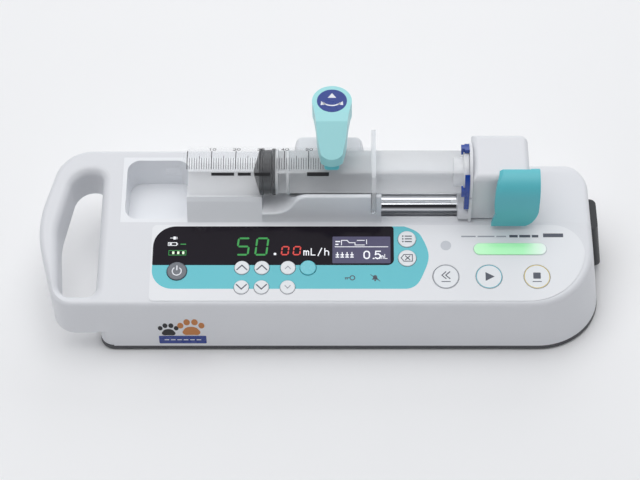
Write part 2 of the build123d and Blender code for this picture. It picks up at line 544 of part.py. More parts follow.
with BuildPart() as slider_face:
    # round pad behind the thumb disc, on a foot that reaches forward round the tube
    rod_x(FACE_X, SYR_Y, SYR_Z, FACE_R)
    span(FACE_X, (SYR_Y - FACE_R, SYR_Y + 14.0), (DECK_Z + 0.6, SYR_Z - 5.0))
    foot_x = (FACE_FOOT_X, FACE_X[1])
    with BuildSketch(Plane.YZ.offset(FACE_FOOT_X)):
        with Locations((TUBE_Y, (DECK_Z + 0.6 + FACE_FOOT_TOP) / 2)):
            RectangleRounded(27.0, FACE_FOOT_TOP - DECK_Z - 0.6, 3.0)
    extrude(amount=foot_x[1] - foot_x[0])
    rod_x(foot_x, TUBE_Y, TUBE_Z, SLEEVE_R)
    rod_x(foot_x, TUBE_Y, TUBE_Z, TUBE_R, mode=Mode.SUBTRACT)
save(slider_face, "slider_face")

with BuildPart() as clutch_pin:
    rod_x((HEAD_X[1] - 9, LEVER_X[1] - 1.2), *LEVER_PIN, LEVER_PIN_R)
    chamfer(clutch_pin.edges(), 0.4)
save(clutch_pin, "clutch_pin")

with BuildPart() as clutch_lever:
    # curved plate in front of the head, its upper end reaching back over it
    with BuildSketch(Plane.YZ.offset(LEVER_X[0])):
        with BuildLine():
            Spline(*LEVER_OUTER)
            Line(LEVER_OUTER[-1], LEVER_INNER[0])
            Spline(*LEVER_INNER)
            Line(LEVER_INNER[-1], LEVER_OUTER[0])
        make_face()
    extrude(amount=LEVER_X[1] - LEVER_X[0])
    # cheek beside the head that turns on the pin
    with BuildSketch(Plane.YZ.offset(HEAD_X[1] + 0.5)):
        with BuildLine():
            Polyline(*LEVER_CHEEK, close=True)
        make_face()
    extrude(amount=LEVER_X[1] - HEAD_X[1] - 0.5)
    # outline seen from the front
    with BuildSketch(Plane.XZ.offset(40)):
        with BuildLine():
            Spline((115.0, 98.0), (107.6, 93.0), (106.0, 84.0), (106.6, 72.0), (104.8, 57.0),
                   tangents=((-1, -0.15), (-0.2, -1)))
            Line((104.8, 57.0), (122.5, 56.5))
            Spline((122.5, 56.5), (131.0, 62.5), (133.6, 76.0), tangents=((1, 0), (0.05, 1)))
            Polyline((133.6, 76.0), (133.6, 98.0), (115.0, 98.0))
        make_face()
    extrude(amount=-120, mode=Mode.INTERSECT)
    rod_x((HEAD_X[1], LEVER_X[1] + 1), *LEVER_PIN, LEVER_PIN_R + 0.05, mode=Mode.SUBTRACT)
save(clutch_lever, "clutch_lever")


def ring_sector(x_from, x_to, inner, outer, start, end):
    """Part of a ring round the syringe axis, between two angles."""
    middle = Vector(SYR_Y, SYR_Z)
    with BuildPart() as sector:
        with BuildSketch(Plane.YZ.offset(x_from)):
            with BuildLine():
                for radius in (outer, inner):
                    CenterArc((SYR_Y, SYR_Z), radius, start, end - start)
                for angle in (start, end):
                    toward = Vector(cos(radians(angle)), sin(radians(angle)))
                    Line(middle + toward * inner, middle + toward * outer)
            make_face()
        extrude(amount=x_to - x_from)
    return sector.part


def add_catch(angles, lip_angles):
    """Adds a curved catch, and its lip over the plunger's thumb disc, to the part being built."""
    reach_x = THUMB_X - 1.8
    add(ring_sector(*HOOK_X, *HOOK_R, *angles))
    add(ring_sector(reach_x, HOOK_X[0], *HOOK_R, *lip_angles))
    add(ring_sector(reach_x, THUMB_X - 0.4, HOOK_LIP_R, HOOK_R[0], *lip_angles))


with BuildPart() as front_hook:
    add_catch((136, 192), (168, 186))
    span(HOOK_X, (SYR_Y - HOOK_R[1], SYR_Y - HOOK_R[0]), (FRONT_HOOK_PIVOT[1], SYR_Z - 2.0))
    rod_x(HOOK_X, *FRONT_HOOK_PIVOT, 2.6)
save(front_hook, "front_hook")

with BuildPart() as top_hook:
    add_catch((62, 84), (66, 80))
save(top_hook, "top_hook")

with BuildPart() as clutch_rod:
    rod_x((TUBE_X[0] - 1, TUBE_X[1] + 6), TUBE_Y, TUBE_Z, 2.6)
    rod_x((TUBE_X[1] + 2.5, TUBE_X[1] + 6), TUBE_Y, TUBE_Z, 4.0)
save(clutch_rod, "clutch_rod")

# ---- drive inside the case -----------------------------------------------------------------------
with BuildPart() as carriage:
    span((-36.0, -16.0), (27.0, 45.0), (16.0, 31.0))
    span((-36.0, -16.0), (27.0, 36.0), (31.0, 46.0))
    span((-36.0, -24.0), (TUBE_Y - 7.9, 36.0), (45.0, TUBE_Z + TUBE_R + 0.4))
    rod_x((-34.0, -23.0), TUBE_Y, TUBE_Z, TUBE_R, mode=Mode.SUBTRACT)
    rod_x((-37.0, -33.0), TUBE_Y, TUBE_Z, 3.0, mode=Mode.SUBTRACT)
    rod_x((-37.0, -15.0), GUIDE_Y, GUIDE_Z, GUIDE_R + 0.08, mode=Mode.SUBTRACT)
save(carriage, "carriage")

with BuildPart() as half_nut:
    span((-34.0, -18.0), (SCREW_Y - 7, SCREW_Y + 7), (SCREW_Z + 0.6, SCREW_Z + 18.0))
    rod_x((-35.0, -17.0), SCREW_Y, SCREW_Z, SCREW_R + 0.06, mode=Mode.SUBTRACT)
save(half_nut, "half_nut")

with BuildPart() as lead_screw:
    thread_start, thread_end = SCREW_X[0] + 6.0, SCREW_X[1] - 6.0
    turns = int((thread_end - thread_start) / SCREW_LEAD)
    outline = [(SCREW_X[0], 0), (SCREW_X[0], 2.5), (thread_start, 2.5), (thread_start, SCREW_R)]
    for turn in range(turns):
        at = thread_start + turn * SCREW_LEAD
        outline += [(at + 1.4, SCREW_R), (at + 2.0, SCREW_R - 1.0), (at + 3.0, SCREW_R - 1.0)]
        outline += [(at + 3.6, SCREW_R)]
    outline += [(thread_end, SCREW_R), (thread_end, 2.5), (SCREW_X[1], 2.5), (SCREW_X[1], 0)]
    add(turned_x(outline).moved(Location((0, SCREW_Y - SYR_Y, SCREW_Z - SYR_Z))))
save(lead_screw, "lead_screw")

with BuildPart() as screw_bearings:
    for x in ((SCREW_X[0] + 1.0, SCREW_X[0] + 5.0), (SCREW_X[1] - 5.0, SCREW_X[1] - 1.0)):
        rod_x(x, SCREW_Y, SCREW_Z, 6.5)
        rod_x(x, SCREW_Y, SCREW_Z, 2.55, mode=Mode.SUBTRACT)
save(screw_bearings, "screw_bearings")

with BuildPart() as guide_rod:
    rod_x((SCREW_X[0] + 1.0, SCREW_X[1] - 1.0), GUIDE_Y, GUIDE_Z, GUIDE_R)
    chamfer(guide_rod.edges(), 0.5)
save(guide_rod, "guide_rod")

with BuildPart() as drive_frame:
    for x in ((SCREW_X[0] + 1.0, SCREW_X[0] + 5.0), (SCREW_X[1] - 5.0, SCREW_X[1] - 1.0)):
        span(x, (6.0, 45.0), (RIM_TOP + 2.0, 34.0))
    span((SCREW_X[0] + 1.0, SCREW_X[1] - 1.0), (6.0, 45.0), (RIM_TOP, RIM_TOP + 2.0))
    rod_x((SCREW_X[0], SCREW_X[1]), SCREW_Y, SCREW_Z, 6.5, mode=Mode.SUBTRACT)
    rod_x((SCREW_X[0], SCREW_X[1]), GUIDE_Y, GUIDE_Z, GUIDE_R, mode=Mode.SUBTRACT)
save(drive_frame, "drive_frame")


def pulley(x, y, z, radius, bore):
    """Flanged belt pulley centred at x."""
    with BuildPart() as piece:
        rod_x((x - BELT_W / 2 - 0.4, x + BELT_W / 2 + 0.4), y, z, radius)
        for side in (-1, 1):
            edge = x + side * (BELT_W / 2 + 0.4)
            rod_x(tuple(sorted((edge, edge + side * 0.9))), y, z, radius + 2.0)
        rod_x((x - BELT_W, x + BELT_W), y, z, bore, mode=Mode.SUBTRACT)
    return piece


screw_pulley = pulley(BELT_X, SCREW_Y, SCREW_Z, SCREW_PULLEY_R, 2.5)
with BuildPart() as screw_shaft:
    rod_x((BELT_X - BELT_W / 2 - 3, SCREW_X[0]), SCREW_Y, SCREW_Z, 2.5)
screw_pulley.part = screw_pulley.part + screw_shaft.part
save(screw_pulley, "screw_pulley")
motor_pulley = pulley(BELT_X, MOTOR_Y, MOTOR_Z, MOTOR_PULLEY_R, 1.5)
with BuildPart() as motor_shaft:
    rod_x((MOTOR_X[1] + 0.3, BELT_X + BELT_W / 2 + 2), MOTOR_Y, MOTOR_Z, 1.5)
motor_pulley.part = motor_pulley.part + motor_shaft.part
save(motor_pulley, "motor_pulley")

with BuildPart() as drive_belt:
    with BuildSketch(Plane.YZ.offset(BELT_X - BELT_W / 2)):
        for thickness, mode in ((BELT_T, Mode.ADD), (0.0, Mode.SUBTRACT)):
            with BuildSketch(mode=Mode.PRIVATE) as loop:
                with Locations((SCREW_Y, SCREW_Z)):
                    Circle(SCREW_PULLEY_R + 0.3 + thickness)
                with Locations((MOTOR_Y, MOTOR_Z)):
                    Circle(MOTOR_PULLEY_R + 0.3 + thickness)
                make_hull()
            add(loop.sketch, mode=mode)
    extrude(amount=BELT_W)
save(drive_belt, "drive_belt")

with BuildPart() as stepper_motor:
    half = MOTOR_SIDE / 2
    span(MOTOR_X, (MOTOR_Y - half, MOTOR_Y + half), (MOTOR_Z - half, MOTOR_Z + half))
    chamfer(stepper_motor.edges().filter_by(Axis.X), 3.0)
    middle_x = (MOTOR_X[0] + 7, MOTOR_X[1] - 7)
    span(middle_x, (MOTOR_Y - half, MOTOR_Y + half), (MOTOR_Z - half, MOTOR_Z + half), mode=Mode.SUBTRACT)
    rod_x((MOTOR_X[0] + 7, MOTOR_X[1] - 7), MOTOR_Y, MOTOR_Z, half - 0.6)
    span((MOTOR_X[0] + 10, MOTOR_X[0] + 18), (MOTOR_Y - 4, MOTOR_Y + 4), (MOTOR_Z, MOTOR_Z + half))
save(stepper_motor, "stepper_motor")

# ---- clamp ---------------------------------------------------------------------------------------
with BuildPart() as clamp_tower:
    for z, half_x, y_range in ((50.0, 25.0, (39.5, 54.3)), (TOWER_TOP, 20.5, (38.2, 52.6))):
        with BuildSketch(Plane.XY.offset(z)):
            with Locations((TOWER_X, sum(y_range) / 2)):
                RectangleRounded(2 * half_x, y_range[1] - y_range[0], 4.5)
    loft()
    fillet(clamp_tower.faces().sort_by(Axis.Z)[-1].edges(), 2.5)
    with BuildSketch(Plane.YZ.offset(-80)):
        with BuildLine():
            Polyline((0, panel_z(0)), (80, panel_z(80)), (80, 0), (0, 0), close=True)
        make_face()
    extrude(amount=160, mode=Mode.SUBTRACT)
    span((-60, 80), (0, CRADLE_REAR_Y + 0.05), (40, RIDGE_Z + 5), mode=Mode.SUBTRACT)
    rod_z(CLAMP_X, CLAMP_Y, (40, 100), CLAMP_BUSH_R, mode=Mode.SUBTRACT)
save(clamp_tower, "clamp_tower")

with BuildPart() as clamp_bushing:
    rod_z(CLAMP_X, CLAMP_Y, (64.0, TOWER_TOP + 1.2), CLAMP_BUSH_R)
    rod_z(CLAMP_X, CLAMP_Y, (60.0, 90.0), CLAMP_ROD_R + 0.06, mode=Mode.SUBTRACT)
save(clamp_bushing, "clamp_bushing")

with BuildPart() as clamp_rod:
    rod_z(CLAMP_X, CLAMP_Y, CLAMP_ROD_Z, CLAMP_ROD_R)
    rod_z(CLAMP_X, CLAMP_Y, (CLAMP_ROD_Z[0], CLAMP_ROD_Z[0] + 2.5), SPRING_R + 1.2)
save(clamp_rod, "clamp_rod")

spring_z = (CLAMP_ROD_Z[0] + 3.2, SPRING_TOP - 0.7)
with BuildPart() as clamp_spring:
    with BuildLine() as coil:
        Helix(pitch=(spring_z[1] - spring_z[0]) / 6, height=spring_z[1] - spring_z[0], radius=SPRING_R)
    with BuildSketch(Plane(origin=coil.line @ 0, z_dir=coil.line % 0)):
        Circle(0.5)
    sweep()
clamp_spring.part = clamp_spring.part.moved(Location((CLAMP_X, CLAMP_Y, spring_z[0])))
save(clamp_spring, "clamp_spring")

with BuildPart() as clamp_lever:
    with BuildSketch(Plane.XY.offset(90)):
        with BuildLine():
            right = [(9.9, -13.0), (9.2, -20.0), (8.2, -26.0), (6.6, -33.0)]
            Spline((11.3, -4.6), *right, tangents=((-0.1, -1), (-0.25, -1)))
            RadiusArc(right[-1], (-right[-1][0], right[-1][1]), 9.5)
            Spline((-right[-1][0], right[-1][1]), *[(-x, y) for x, y in reversed(right[:-1])], (-11.3, -4.6),
                   tangents=((-0.25, 1), (-0.1, 1)))
            Line((-11.3, -4.6), (11.3, -4.6))
        make_face()
        Circle(HEAD_R)
    extrude(amount=60)
    with BuildSketch(Plane.YZ.offset(-40)):
        with BuildLine():
            Polyline((-40, 100.2), (-40, 104.2), (-15.5, 119.2), (-9.0, HEAD_TOP), (14, HEAD_TOP),
                     (14, 108.0), (-9.0, 108.0), (-18.0, 103.0), (-26.0, 100.2), close=True)
        make_face()
    extrude(amount=80, mode=Mode.INTERSECT)
    rod_z(0, 0, (100, CLAMP_ROD_Z[1] + 0.1), CLAMP_ROD_R + 0.05, mode=Mode.SUBTRACT)
clamp_lever.part = clamp_lever.part.moved(Location((CLAMP_X, CLAMP_Y, 0)))
save(clamp_lever, "clamp_lever")

with BuildPart() as clamp_pad:
    span((CLAMP_X - 4.6, CLAMP_X + 4.6), (8.6, 25.0), (PAD_Z, 100.2))
    fillet(clamp_pad.edges().filter_by(Axis.Z), 2.0)
save(clamp_pad, "clamp_pad")

# ---- control panel -------------------------------------------------------------------------------
def on_panel(x, y):
    """Point in the panel sketch plane above (x, y)."""
    return (x, along_panel(y))


def panel_layer(lift):
    """Panel sketch plane, raised by lift, with its origin over the panel's middle line."""
    return panel_at(0, PANEL_MID, lift)


def rounded(x, y, radii):
    """Rounded rectangle given by its ranges on the panel, radii from the lower left, going round."""
    corners = [(x[0], y[0]), (x[1], y[0]), (x[1], y[1]), (x[0], y[1])]
    with BuildSketch() as shape:
        with BuildLine():
            FilletPolyline(*[on_panel(*c) for c in corners], radius=list(radii), close=True)
        make_face()
    return shape.sketch


sheet_face = rounded(SHEET_X, SHEET_Y, (3.0, 36.0, 20.0, 3.0))
window_face = rounded(WINDOW_X, WINDOW_Y, (1.0, 4.0, 2.0, 14.0))
teal_low = rounded(WINDOW_X, (TEAL_Y, WINDOW_Y[0] + 5), (13.0, 3.0, 1.0, 1.0))
with BuildSketch() as teal_bulge:
    with BuildLine():
        Polyline(on_panel(30, TEAL_Y), on_panel(52, TEAL_Y))
        Spline(on_panel(52, TEAL_Y), on_panel(62.5, -33), on_panel(66, -20), on_panel(62.5, -9),
               on_panel(51, WINDOW_Y[1]), tangents=((1, 0.1), (-1, 0.35)))
        Polyline(on_panel(51, WINDOW_Y[1]), on_panel(30, WINDOW_Y[1]), on_panel(30, TEAL_Y))
    make_face()
key_spots = {name: (on_panel(x, y), radius) for name, (x, y, radius) in KEYS.items()}
light_spot = on_panel(sum(LIGHT_X) / 2, LIGHT_Y)
light_size = (LIGHT_X[1] - LIGHT_X[0], LIGHT_H)

with BuildPart() as key_field:
    with BuildSketch(panel_layer(0)):
        add(teal_low)
        add(teal_bulge.sketch)
        add(window_face, mode=Mode.SUBTRACT)
        for spot, radius in key_spots.values():
            with Locations(spot):
                Circle(radius + KEY_GAP, mode=Mode.SUBTRACT)
    extrude(amount=SHEET_T)
save(key_field, "key_field")

with BuildPart() as display_window:
    with BuildSketch(panel_layer(0)):
        add(window_face)
        for spot, radius in key_spots.values():
            with Locations(spot):
                Circle(radius + KEY_GAP, mode=Mode.SUBTRACT)
    extrude(amount=SHEET_T)
save(display_window, "display_window")

with BuildPart() as panel_sheet:
    with BuildSketch(panel_layer(0)):
        add(sheet_face)
        add(teal_low, mode=Mode.SUBTRACT)
        add(teal_bulge.sketch, mode=Mode.SUBTRACT)
        add(window_face, mode=Mode.SUBTRACT)
        for spot, radius in key_spots.values():
            with Locations(spot):
                Circle(radius + KEY_GAP, mode=Mode.SUBTRACT)
        with Locations(light_spot):
            RectangleRounded(*[size + 0.4 for size in light_size], LIGHT_H / 2, mode=Mode.SUBTRACT)
    extrude(amount=SHEET_T)
save(panel_sheet, "panel_sheet")

with BuildPart() as light_bar:
    with BuildSketch(panel_layer(0)):
        with Locations(light_spot):
            RectangleRounded(*light_size, LIGHT_H / 2 - 0.1)
    extrude(amount=SHEET_T + 0.5)
save(light_bar, "light_bar")

for name, (spot, radius) in key_spots.items():
    with BuildPart() as key:
        with BuildSketch(panel_layer(-KEY_DEPTH)):
            with Locations(spot):
                Circle(radius)
        extrude(amount=KEY_DEPTH + (FLAT_KEY_PROUD if name in FLAT_KEYS else KEY_PROUD))
        fillet(key.edges().sort_by(Axis.Z)[-1], KEY_EDGE / 3 if name in FLAT_KEYS else KEY_EDGE)
    save(key, name)

board_top = -BOARD_GAP - SWITCH_H
with BuildPart() as display_board:
    with BuildSketch(panel_layer(board_top - BOARD_T)):
        with Locations(on_panel(22.0, -23.0)):
            Rectangle(236.0, 42.0)
    extrude(amount=BOARD_T)
    # key switches and status lamps, soldered to the board
    with BuildSketch(panel_layer(-BOARD_GAP - SWITCH_H)):
        for spot, radius in key_spots.values():
            with Locations(spot):
                Rectangle(SWITCH_SIDE, SWITCH_SIDE)
    extrude(amount=SWITCH_H - SWITCH_PLUNGER_H)
    with BuildSketch(panel_layer(-BOARD_GAP - SWITCH_PLUNGER_H)):
        for spot, radius in key_spots.values():
            with Locations(spot):
                Circle(1.7)
    extrude(amount=SWITCH_PLUNGER_H)
    with BuildSketch(panel_layer(board_top)):
        for step in range(5):
            with Locations(on_panel(-96.0 + 5.0 * step, -16.0)):
                Circle(1.5)
    extrude(amount=-board_top - 0.6)
save(display_board, "display_board")

with BuildPart() as digit_module:
    with BuildSketch(panel_layer(board_top)):
        with Locations(on_panel(-36.0, -13.4)):
            Rectangle(62.0, 19.0)
    extrude(amount=-board_top - 0.3)
save(digit_module, "digit_module")

with BuildPart() as lcd_module:
    with BuildSketch(panel_layer(board_top)):
        with Locations(on_panel(23.0, -13.4)):
            Rectangle(36.0, 19.0)
    extrude(amount=-board_top - 0.3)
save(lcd_module, "lcd_module")

# ---- electronics and power -----------------------------------------------------------------------
with BuildPart() as main_board:
    span((54.0, 142.0), (-44.0, 42.0), (8.0, 9.6))
    for x, y in ((58.0, -40.0), (138.0, -40.0), (58.0, 38.0), (138.0, 38.0)):
        rod_z(x, y, (RIM_TOP, 8.0), 2.5)
    for x, y, side, height in ((62.0, 20.0, 14.0, 1.6), (70.0, 0.0, 10.0, 2.2), (86.0, -4.0, 8.0, 3.0)):
        span((x, x + side), (y, y + side), (9.6, 9.6 + height))
    rod_z(SPEAKER_X, SPEAKER_Y + 6, (9.6, 15.0), 7.0)
save(main_board, "main_board")

with BuildPart() as power_supply:
    span((98.0, 140.0), (-6.0, 30.0), (9.6, 13.0))
    span((102.0, 124.0), (-2.0, 24.0), (13.0, 30.0))
    for y in (2.0, 12.0, 22.0):
        rod_z(132.0, y, (13.0, 27.0), 4.0)
save(power_supply, "power_supply")

with BuildPart() as battery_pack:
    for y in (-43.0, -25.4):
        rod_x((-88.0, 6.0), y, 13.6, 8.6)
    span((-88.0, 6.0), (-43.0, -25.4), (5.0, 22.2))
save(battery_pack, "battery_pack")
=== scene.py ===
"""Looks of the syringe infusion pump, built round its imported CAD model.

Everything stands in the model's frame, in metres: +X to the slider end, +Y to the rear, +Z up.
Printed marks are drawn in millimetres on a flat sheet and then laid on the panel, a key, the front
wall or the round barrel.
"""
import json
from math import cos, hypot, pi, radians, sin, tan

import bmesh
import bpy
from mathutils import Matrix, Vector


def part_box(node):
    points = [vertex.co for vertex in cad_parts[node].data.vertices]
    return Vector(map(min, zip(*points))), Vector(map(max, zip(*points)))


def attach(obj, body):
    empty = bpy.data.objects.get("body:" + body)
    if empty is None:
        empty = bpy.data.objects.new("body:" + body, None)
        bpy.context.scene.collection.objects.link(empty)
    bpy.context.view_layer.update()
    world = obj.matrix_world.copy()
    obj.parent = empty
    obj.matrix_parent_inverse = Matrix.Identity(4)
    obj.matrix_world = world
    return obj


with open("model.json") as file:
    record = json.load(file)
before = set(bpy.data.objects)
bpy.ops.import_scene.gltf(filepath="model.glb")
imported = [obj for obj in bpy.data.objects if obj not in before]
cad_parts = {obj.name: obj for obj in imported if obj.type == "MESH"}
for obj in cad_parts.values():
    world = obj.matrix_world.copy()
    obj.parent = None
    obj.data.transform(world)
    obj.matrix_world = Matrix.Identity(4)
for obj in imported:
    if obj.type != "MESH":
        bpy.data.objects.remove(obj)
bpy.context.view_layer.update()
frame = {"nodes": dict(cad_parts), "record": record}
NODES = frame["nodes"]
MM = 0.001

# ---- places on the pump --------------------------------------------------------------------------
SLOPE = radians(10.5)               # tilt of the key panel
SHEET_T = 0.4                       # thickness of the printed panel sheet, mm
INK = 0.06                          # thickness of printed ink, mm
FRONT_DRAFT = 0.0935                # how far the front wall leans back per mm of height

sheet_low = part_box("panel_sheet")[0] / MM
seal_low, seal_high = (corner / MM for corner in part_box("plunger_seal"))
SYRINGE_Y = (seal_low.y + seal_high.y) / 2
SYRINGE_Z = (seal_low.z + seal_high.z) / 2
BARREL_R = 15.6                     # outside of the syringe barrel
FLANGE_DEPTH = 3.2                  # right end of the barrel that is its finger flange
PANEL_ACROSS = Vector((1, 0, 0))
PANEL_UP = Vector((0, cos(SLOPE), sin(SLOPE)))
PANEL_OUT = Vector((0, -sin(SLOPE), cos(SLOPE)))


def panel_height(y):
    """Height in mm of the bare sloped panel at depth y."""
    return sheet_low.z + (y - sheet_low.y - SHEET_T * sin(SLOPE)) * tan(SLOPE)


def on_panel(x, y, lift=SHEET_T):
    """Drawing sheet on the sloped panel with its middle at (x, y), mm."""
    origin = Vector((x, y, panel_height(y))) + PANEL_OUT * lift
    return sheet_matrix(origin, PANEL_ACROSS, PANEL_UP)


def sheet_matrix(origin, across, up):
    """Matrix that takes drawing coordinates in mm to metres in the frame."""
    out = across.cross(up)
    turned = Matrix((across, up, out)).transposed().to_4x4()
    return Matrix.Scale(MM, 4) @ Matrix.Translation(origin) @ turned


def on_front_wall(x, z):
    """Drawing sheet on the leaning front wall with its middle at (x, z), mm."""
    wall_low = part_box("upper_case")[0] / MM
    lean = Vector((0, FRONT_DRAFT, 1)).normalized()
    origin = Vector((x, wall_low.y + FRONT_DRAFT * (z - wall_low.z), z))
    return sheet_matrix(origin, Vector((1, 0, 0)), lean)


def on_key(name):
    """Drawing sheet on the flat top of a key, found from the key's own mesh."""
    node = NODES[name]
    points = [node.matrix_world @ vertex.co / MM for vertex in node.data.vertices]
    along, rising = [[point.dot(axis) for point in points] for axis in (PANEL_ACROSS, PANEL_UP)]
    top = max(point.dot(PANEL_OUT) for point in points)
    origin = PANEL_ACROSS * (min(along) + max(along)) / 2 + PANEL_UP * (min(rising) + max(rising)) / 2
    return sheet_matrix(origin + PANEL_OUT * top, PANEL_ACROSS, PANEL_UP)


# ---- flat drawings, each a list of faces of (x, y) points in mm ----------------------------------
def disc(x, y, radius, tall=None, steps=48):
    """Filled circle about (x, y), or an ellipse when tall is given."""
    tall = radius if tall is None else tall
    angles = [2 * pi * i / steps for i in range(steps)]
    return [[(x + radius * cos(a), y + tall * sin(a)) for a in angles]]


def arc_band(x, y, outer, inner, start=0.0, end=360.0, steps=48):
    """Part of a ring between two angles in degrees."""
    faces = []
    for i in range(steps):
        a, b = (radians(start + (end - start) * (i + k) / steps) for k in (0, 1))
        faces.append([(x + inner * cos(a), y + inner * sin(a)), (x + outer * cos(a), y + outer * sin(a)),
                      (x + outer * cos(b), y + outer * sin(b)), (x + inner * cos(b), y + inner * sin(b))])
    return faces


def bar(x0, y0, x1, y1):
    """Upright rectangle between two corners."""
    return [[(x0, y0), (x1, y0), (x1, y1), (x0, y1)]]


def plate(x, y, wide, tall, corner, steps=8):
    """Rounded rectangle about (x, y)."""
    points = []
    for side_x, side_y, turn in ((1, 1, 0), (-1, 1, 90), (-1, -1, 180), (1, -1, 270)):
        cx, cy = x + side_x * (wide / 2 - corner), y + side_y * (tall / 2 - corner)
        for i in range(steps + 1):
            a = radians(turn + 90 * i / steps)
            points.append((cx + corner * cos(a), cy + corner * sin(a)))
    return [points]


def stroke(points, width):
    """Line of even width with square ends along points."""
    faces = []
    for (ax, ay), (bx, by) in zip(points, points[1:]):
        length = hypot(bx - ax, by - ay)
        ux, uy = (bx - ax) / length, (by - ay) / length
        nx, ny = -uy * width / 2, ux * width / 2
        ex, ey = ux * width / 2, uy * width / 2
        faces.append([(ax - ex + nx, ay - ey + ny), (ax - ex - nx, ay - ey - ny),
                      (bx + ex - nx, by + ey - ny), (bx + ex + nx, by + ey + ny)])
    return faces


def shift(faces, dx, dy):
    """The same drawing moved by (dx, dy)."""
    return [[(x + dx, y + dy) for x, y in face] for face in faces]


SEGMENTS = {"0": "abcdef", "5": "acdfg"}


def seven_segment(digit, wide, tall, thick, slant=0.10):
    """Digit of a seven-segment display, its lower left corner at the origin."""
    half, gap = thick / 2, thick * 0.22
    level = {"a": tall - half, "g": tall / 2, "d": half}
    upright = {"f": (half, tall / 2, tall), "b": (wide - half, tall / 2, tall),
               "e": (half, 0, tall / 2), "c": (wide - half, 0, tall / 2)}
    faces = []
    for name in SEGMENTS[digit]:
        if name in level:
            y, x0, x1 = level[name], half + gap, wide - half - gap
            face = [(x0, y), (x0 + half, y - half), (x1 - half, y - half),
                    (x1, y), (x1 - half, y + half), (x0 + half, y + half)]
        else:
            x, y0, y1 = upright[name]
            y0, y1 = y0 + gap + (half if y0 == 0 else 0), y1 - gap - (half if y1 == tall else 0)
            face = [(x, y0), (x + half, y0 + half), (x + half, y1 - half),
                    (x, y1), (x - half, y1 - half), (x - half, y0 + half)]
        faces.append([(px + slant * py, py) for px, py in face])
    return faces


def curve_points(x, y, radius, start, end, steps=6, tall=None):
    """Points along part of a circle or ellipse, between two angles in degrees."""
    tall = radius if tall is None else tall
    angles = [radians(start + (end - start) * i / steps) for i in range(steps + 1)]
    return [(x + radius * cos(a), y + tall * sin(a)) for a in angles]


GLYPHS = {   # strokes on a box 4 wide and 6 tall
    "0": [curve_points(2, 4, 2, 0, 180) + curve_points(2, 2, 2, 180, 360) + [(4, 4)]],
    "1": [[(0.8, 4.8), (2.2, 6), (2.2, 0)]],
    "2": [curve_points(2, 4.1, 1.9, 170, -30) + [(0.2, 0), (4, 0)]],
    "3": [curve_points(2, 4.5, 1.6, 150, -90) + curve_points(2, 1.5, 1.8, 80, -150)],
    "4": [[(3, 0), (3, 6), (0, 1.8), (4, 1.8)]],
    "5": [[(3.8, 6), (0.6, 6), (0.3, 3.3)] + curve_points(1.9, 1.9, 2, 115, -140)],
    "m": [[(0, 0), (0, 4)], curve_points(1, 2.8, 1, 180, 0) + [(2, 0)],
          curve_points(3, 2.8, 1, 180, 0) + [(4, 0)]],
    "L": [[(0.4, 6), (0.4, 0), (3.6, 0)]],
    "/": [[(0.4, -0.6), (3.4, 6.4)]],
    "h": [[(0.3, 6), (0.3, 0)], curve_points(1.9, 2.4, 1.6, 180, 0) + [(3.5, 0)]],
    ".": [[(1.6, 0), (2.0, 0)]],
}


def written(text, height, weight=0.8, spacing=1.8):
    """Digits and unit signs as strokes, starting at the origin."""
    faces, at, unit = [], 0.0, height / 6
    for sign in text:
        for line in GLYPHS[sign]:
            faces += stroke([((at + x) * unit, y * unit) for x, y in line], weight * unit)
        at += (1.6 if sign == "." else 4) + spacing
    return faces


def chevron(wide, tall, width, down=False):
    """Arrow head of two strokes, pointing up or down."""
    tip = -tall / 2 if down else tall / 2
    return stroke([(-wide / 2, -tip), (0, tip)], width) + stroke([(0, tip), (wide / 2, -tip)], width)


# ---- turning drawings into pieces ----------------------------------------------------------------
def finish_mesh(mesh, name, material, body):
    """Mesh as a piece of the object with its material, body and slot."""
    piece = bpy.data.objects.new(name, mesh)
    bpy.context.scene.collection.objects.link(piece)
    mesh.materials.append(material)
    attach(piece, body)
    return piece


def printed(name, drawing, matrix, material, body, thick=INK, wrap=None):
    """Thin solid print: every face becomes a plate thick mm high, laid out by matrix or wrap."""
    lay = wrap or (lambda x, y, lift: matrix @ Vector((x, y, lift)))
    bm = bmesh.new()
    for face in drawing:
        rings = [[bm.verts.new(lay(x, y, lift)) for x, y in face] for lift in (0.0, thick)]
        bm.faces.new(rings[1])
        bm.faces.new(list(reversed(rings[0])))
        for i in range(len(face)):
            j = (i + 1) % len(face)
            bm.faces.new([rings[0][i], rings[0][j], rings[1][j], rings[1][i]])
    bmesh.ops.recalc_face_normals(bm, faces=bm.faces)
    mesh = bpy.data.meshes.new(name)
    bm.to_mesh(mesh)
    bm.free()
    return finish_mesh(mesh, name, material, body)


# ---- materials -----------------------------------------------------------------------------------
def node_material(name):
    """New material with its node tree and its shader."""
    material = bpy.data.materials.new(name)
    material.use_nodes = True
    tree = material.node_tree
    return material, tree, tree.nodes["Principled BSDF"]


def link(tree, source, target):
    tree.links.new(source, target)


def noise(tree, scale, detail=3.0, stretch=None):
    """Noise texture in object coordinates, in cycles per metre, stretched along the axes."""
    where = tree.nodes.new("ShaderNodeTexCoord")
    mapping = tree.nodes.new("ShaderNodeMapping")
    mapping.inputs["Scale"].default_value = stretch or (1, 1, 1)
    texture = tree.nodes.new("ShaderNodeTexNoise")
    texture.inputs["Scale"].default_value = scale
    texture.inputs["Detail"].default_value = detail
    link(tree, where.outputs["Object"], mapping.inputs["Vector"])
    link(tree, mapping.outputs["Vector"], texture.inputs["Vector"])
    return texture


def shade(color, factor):
    """Colour made lighter or darker, with full opacity."""
    return tuple(min(1.0, max(0.0, c * factor)) for c in color[:3]) + (1.0,)


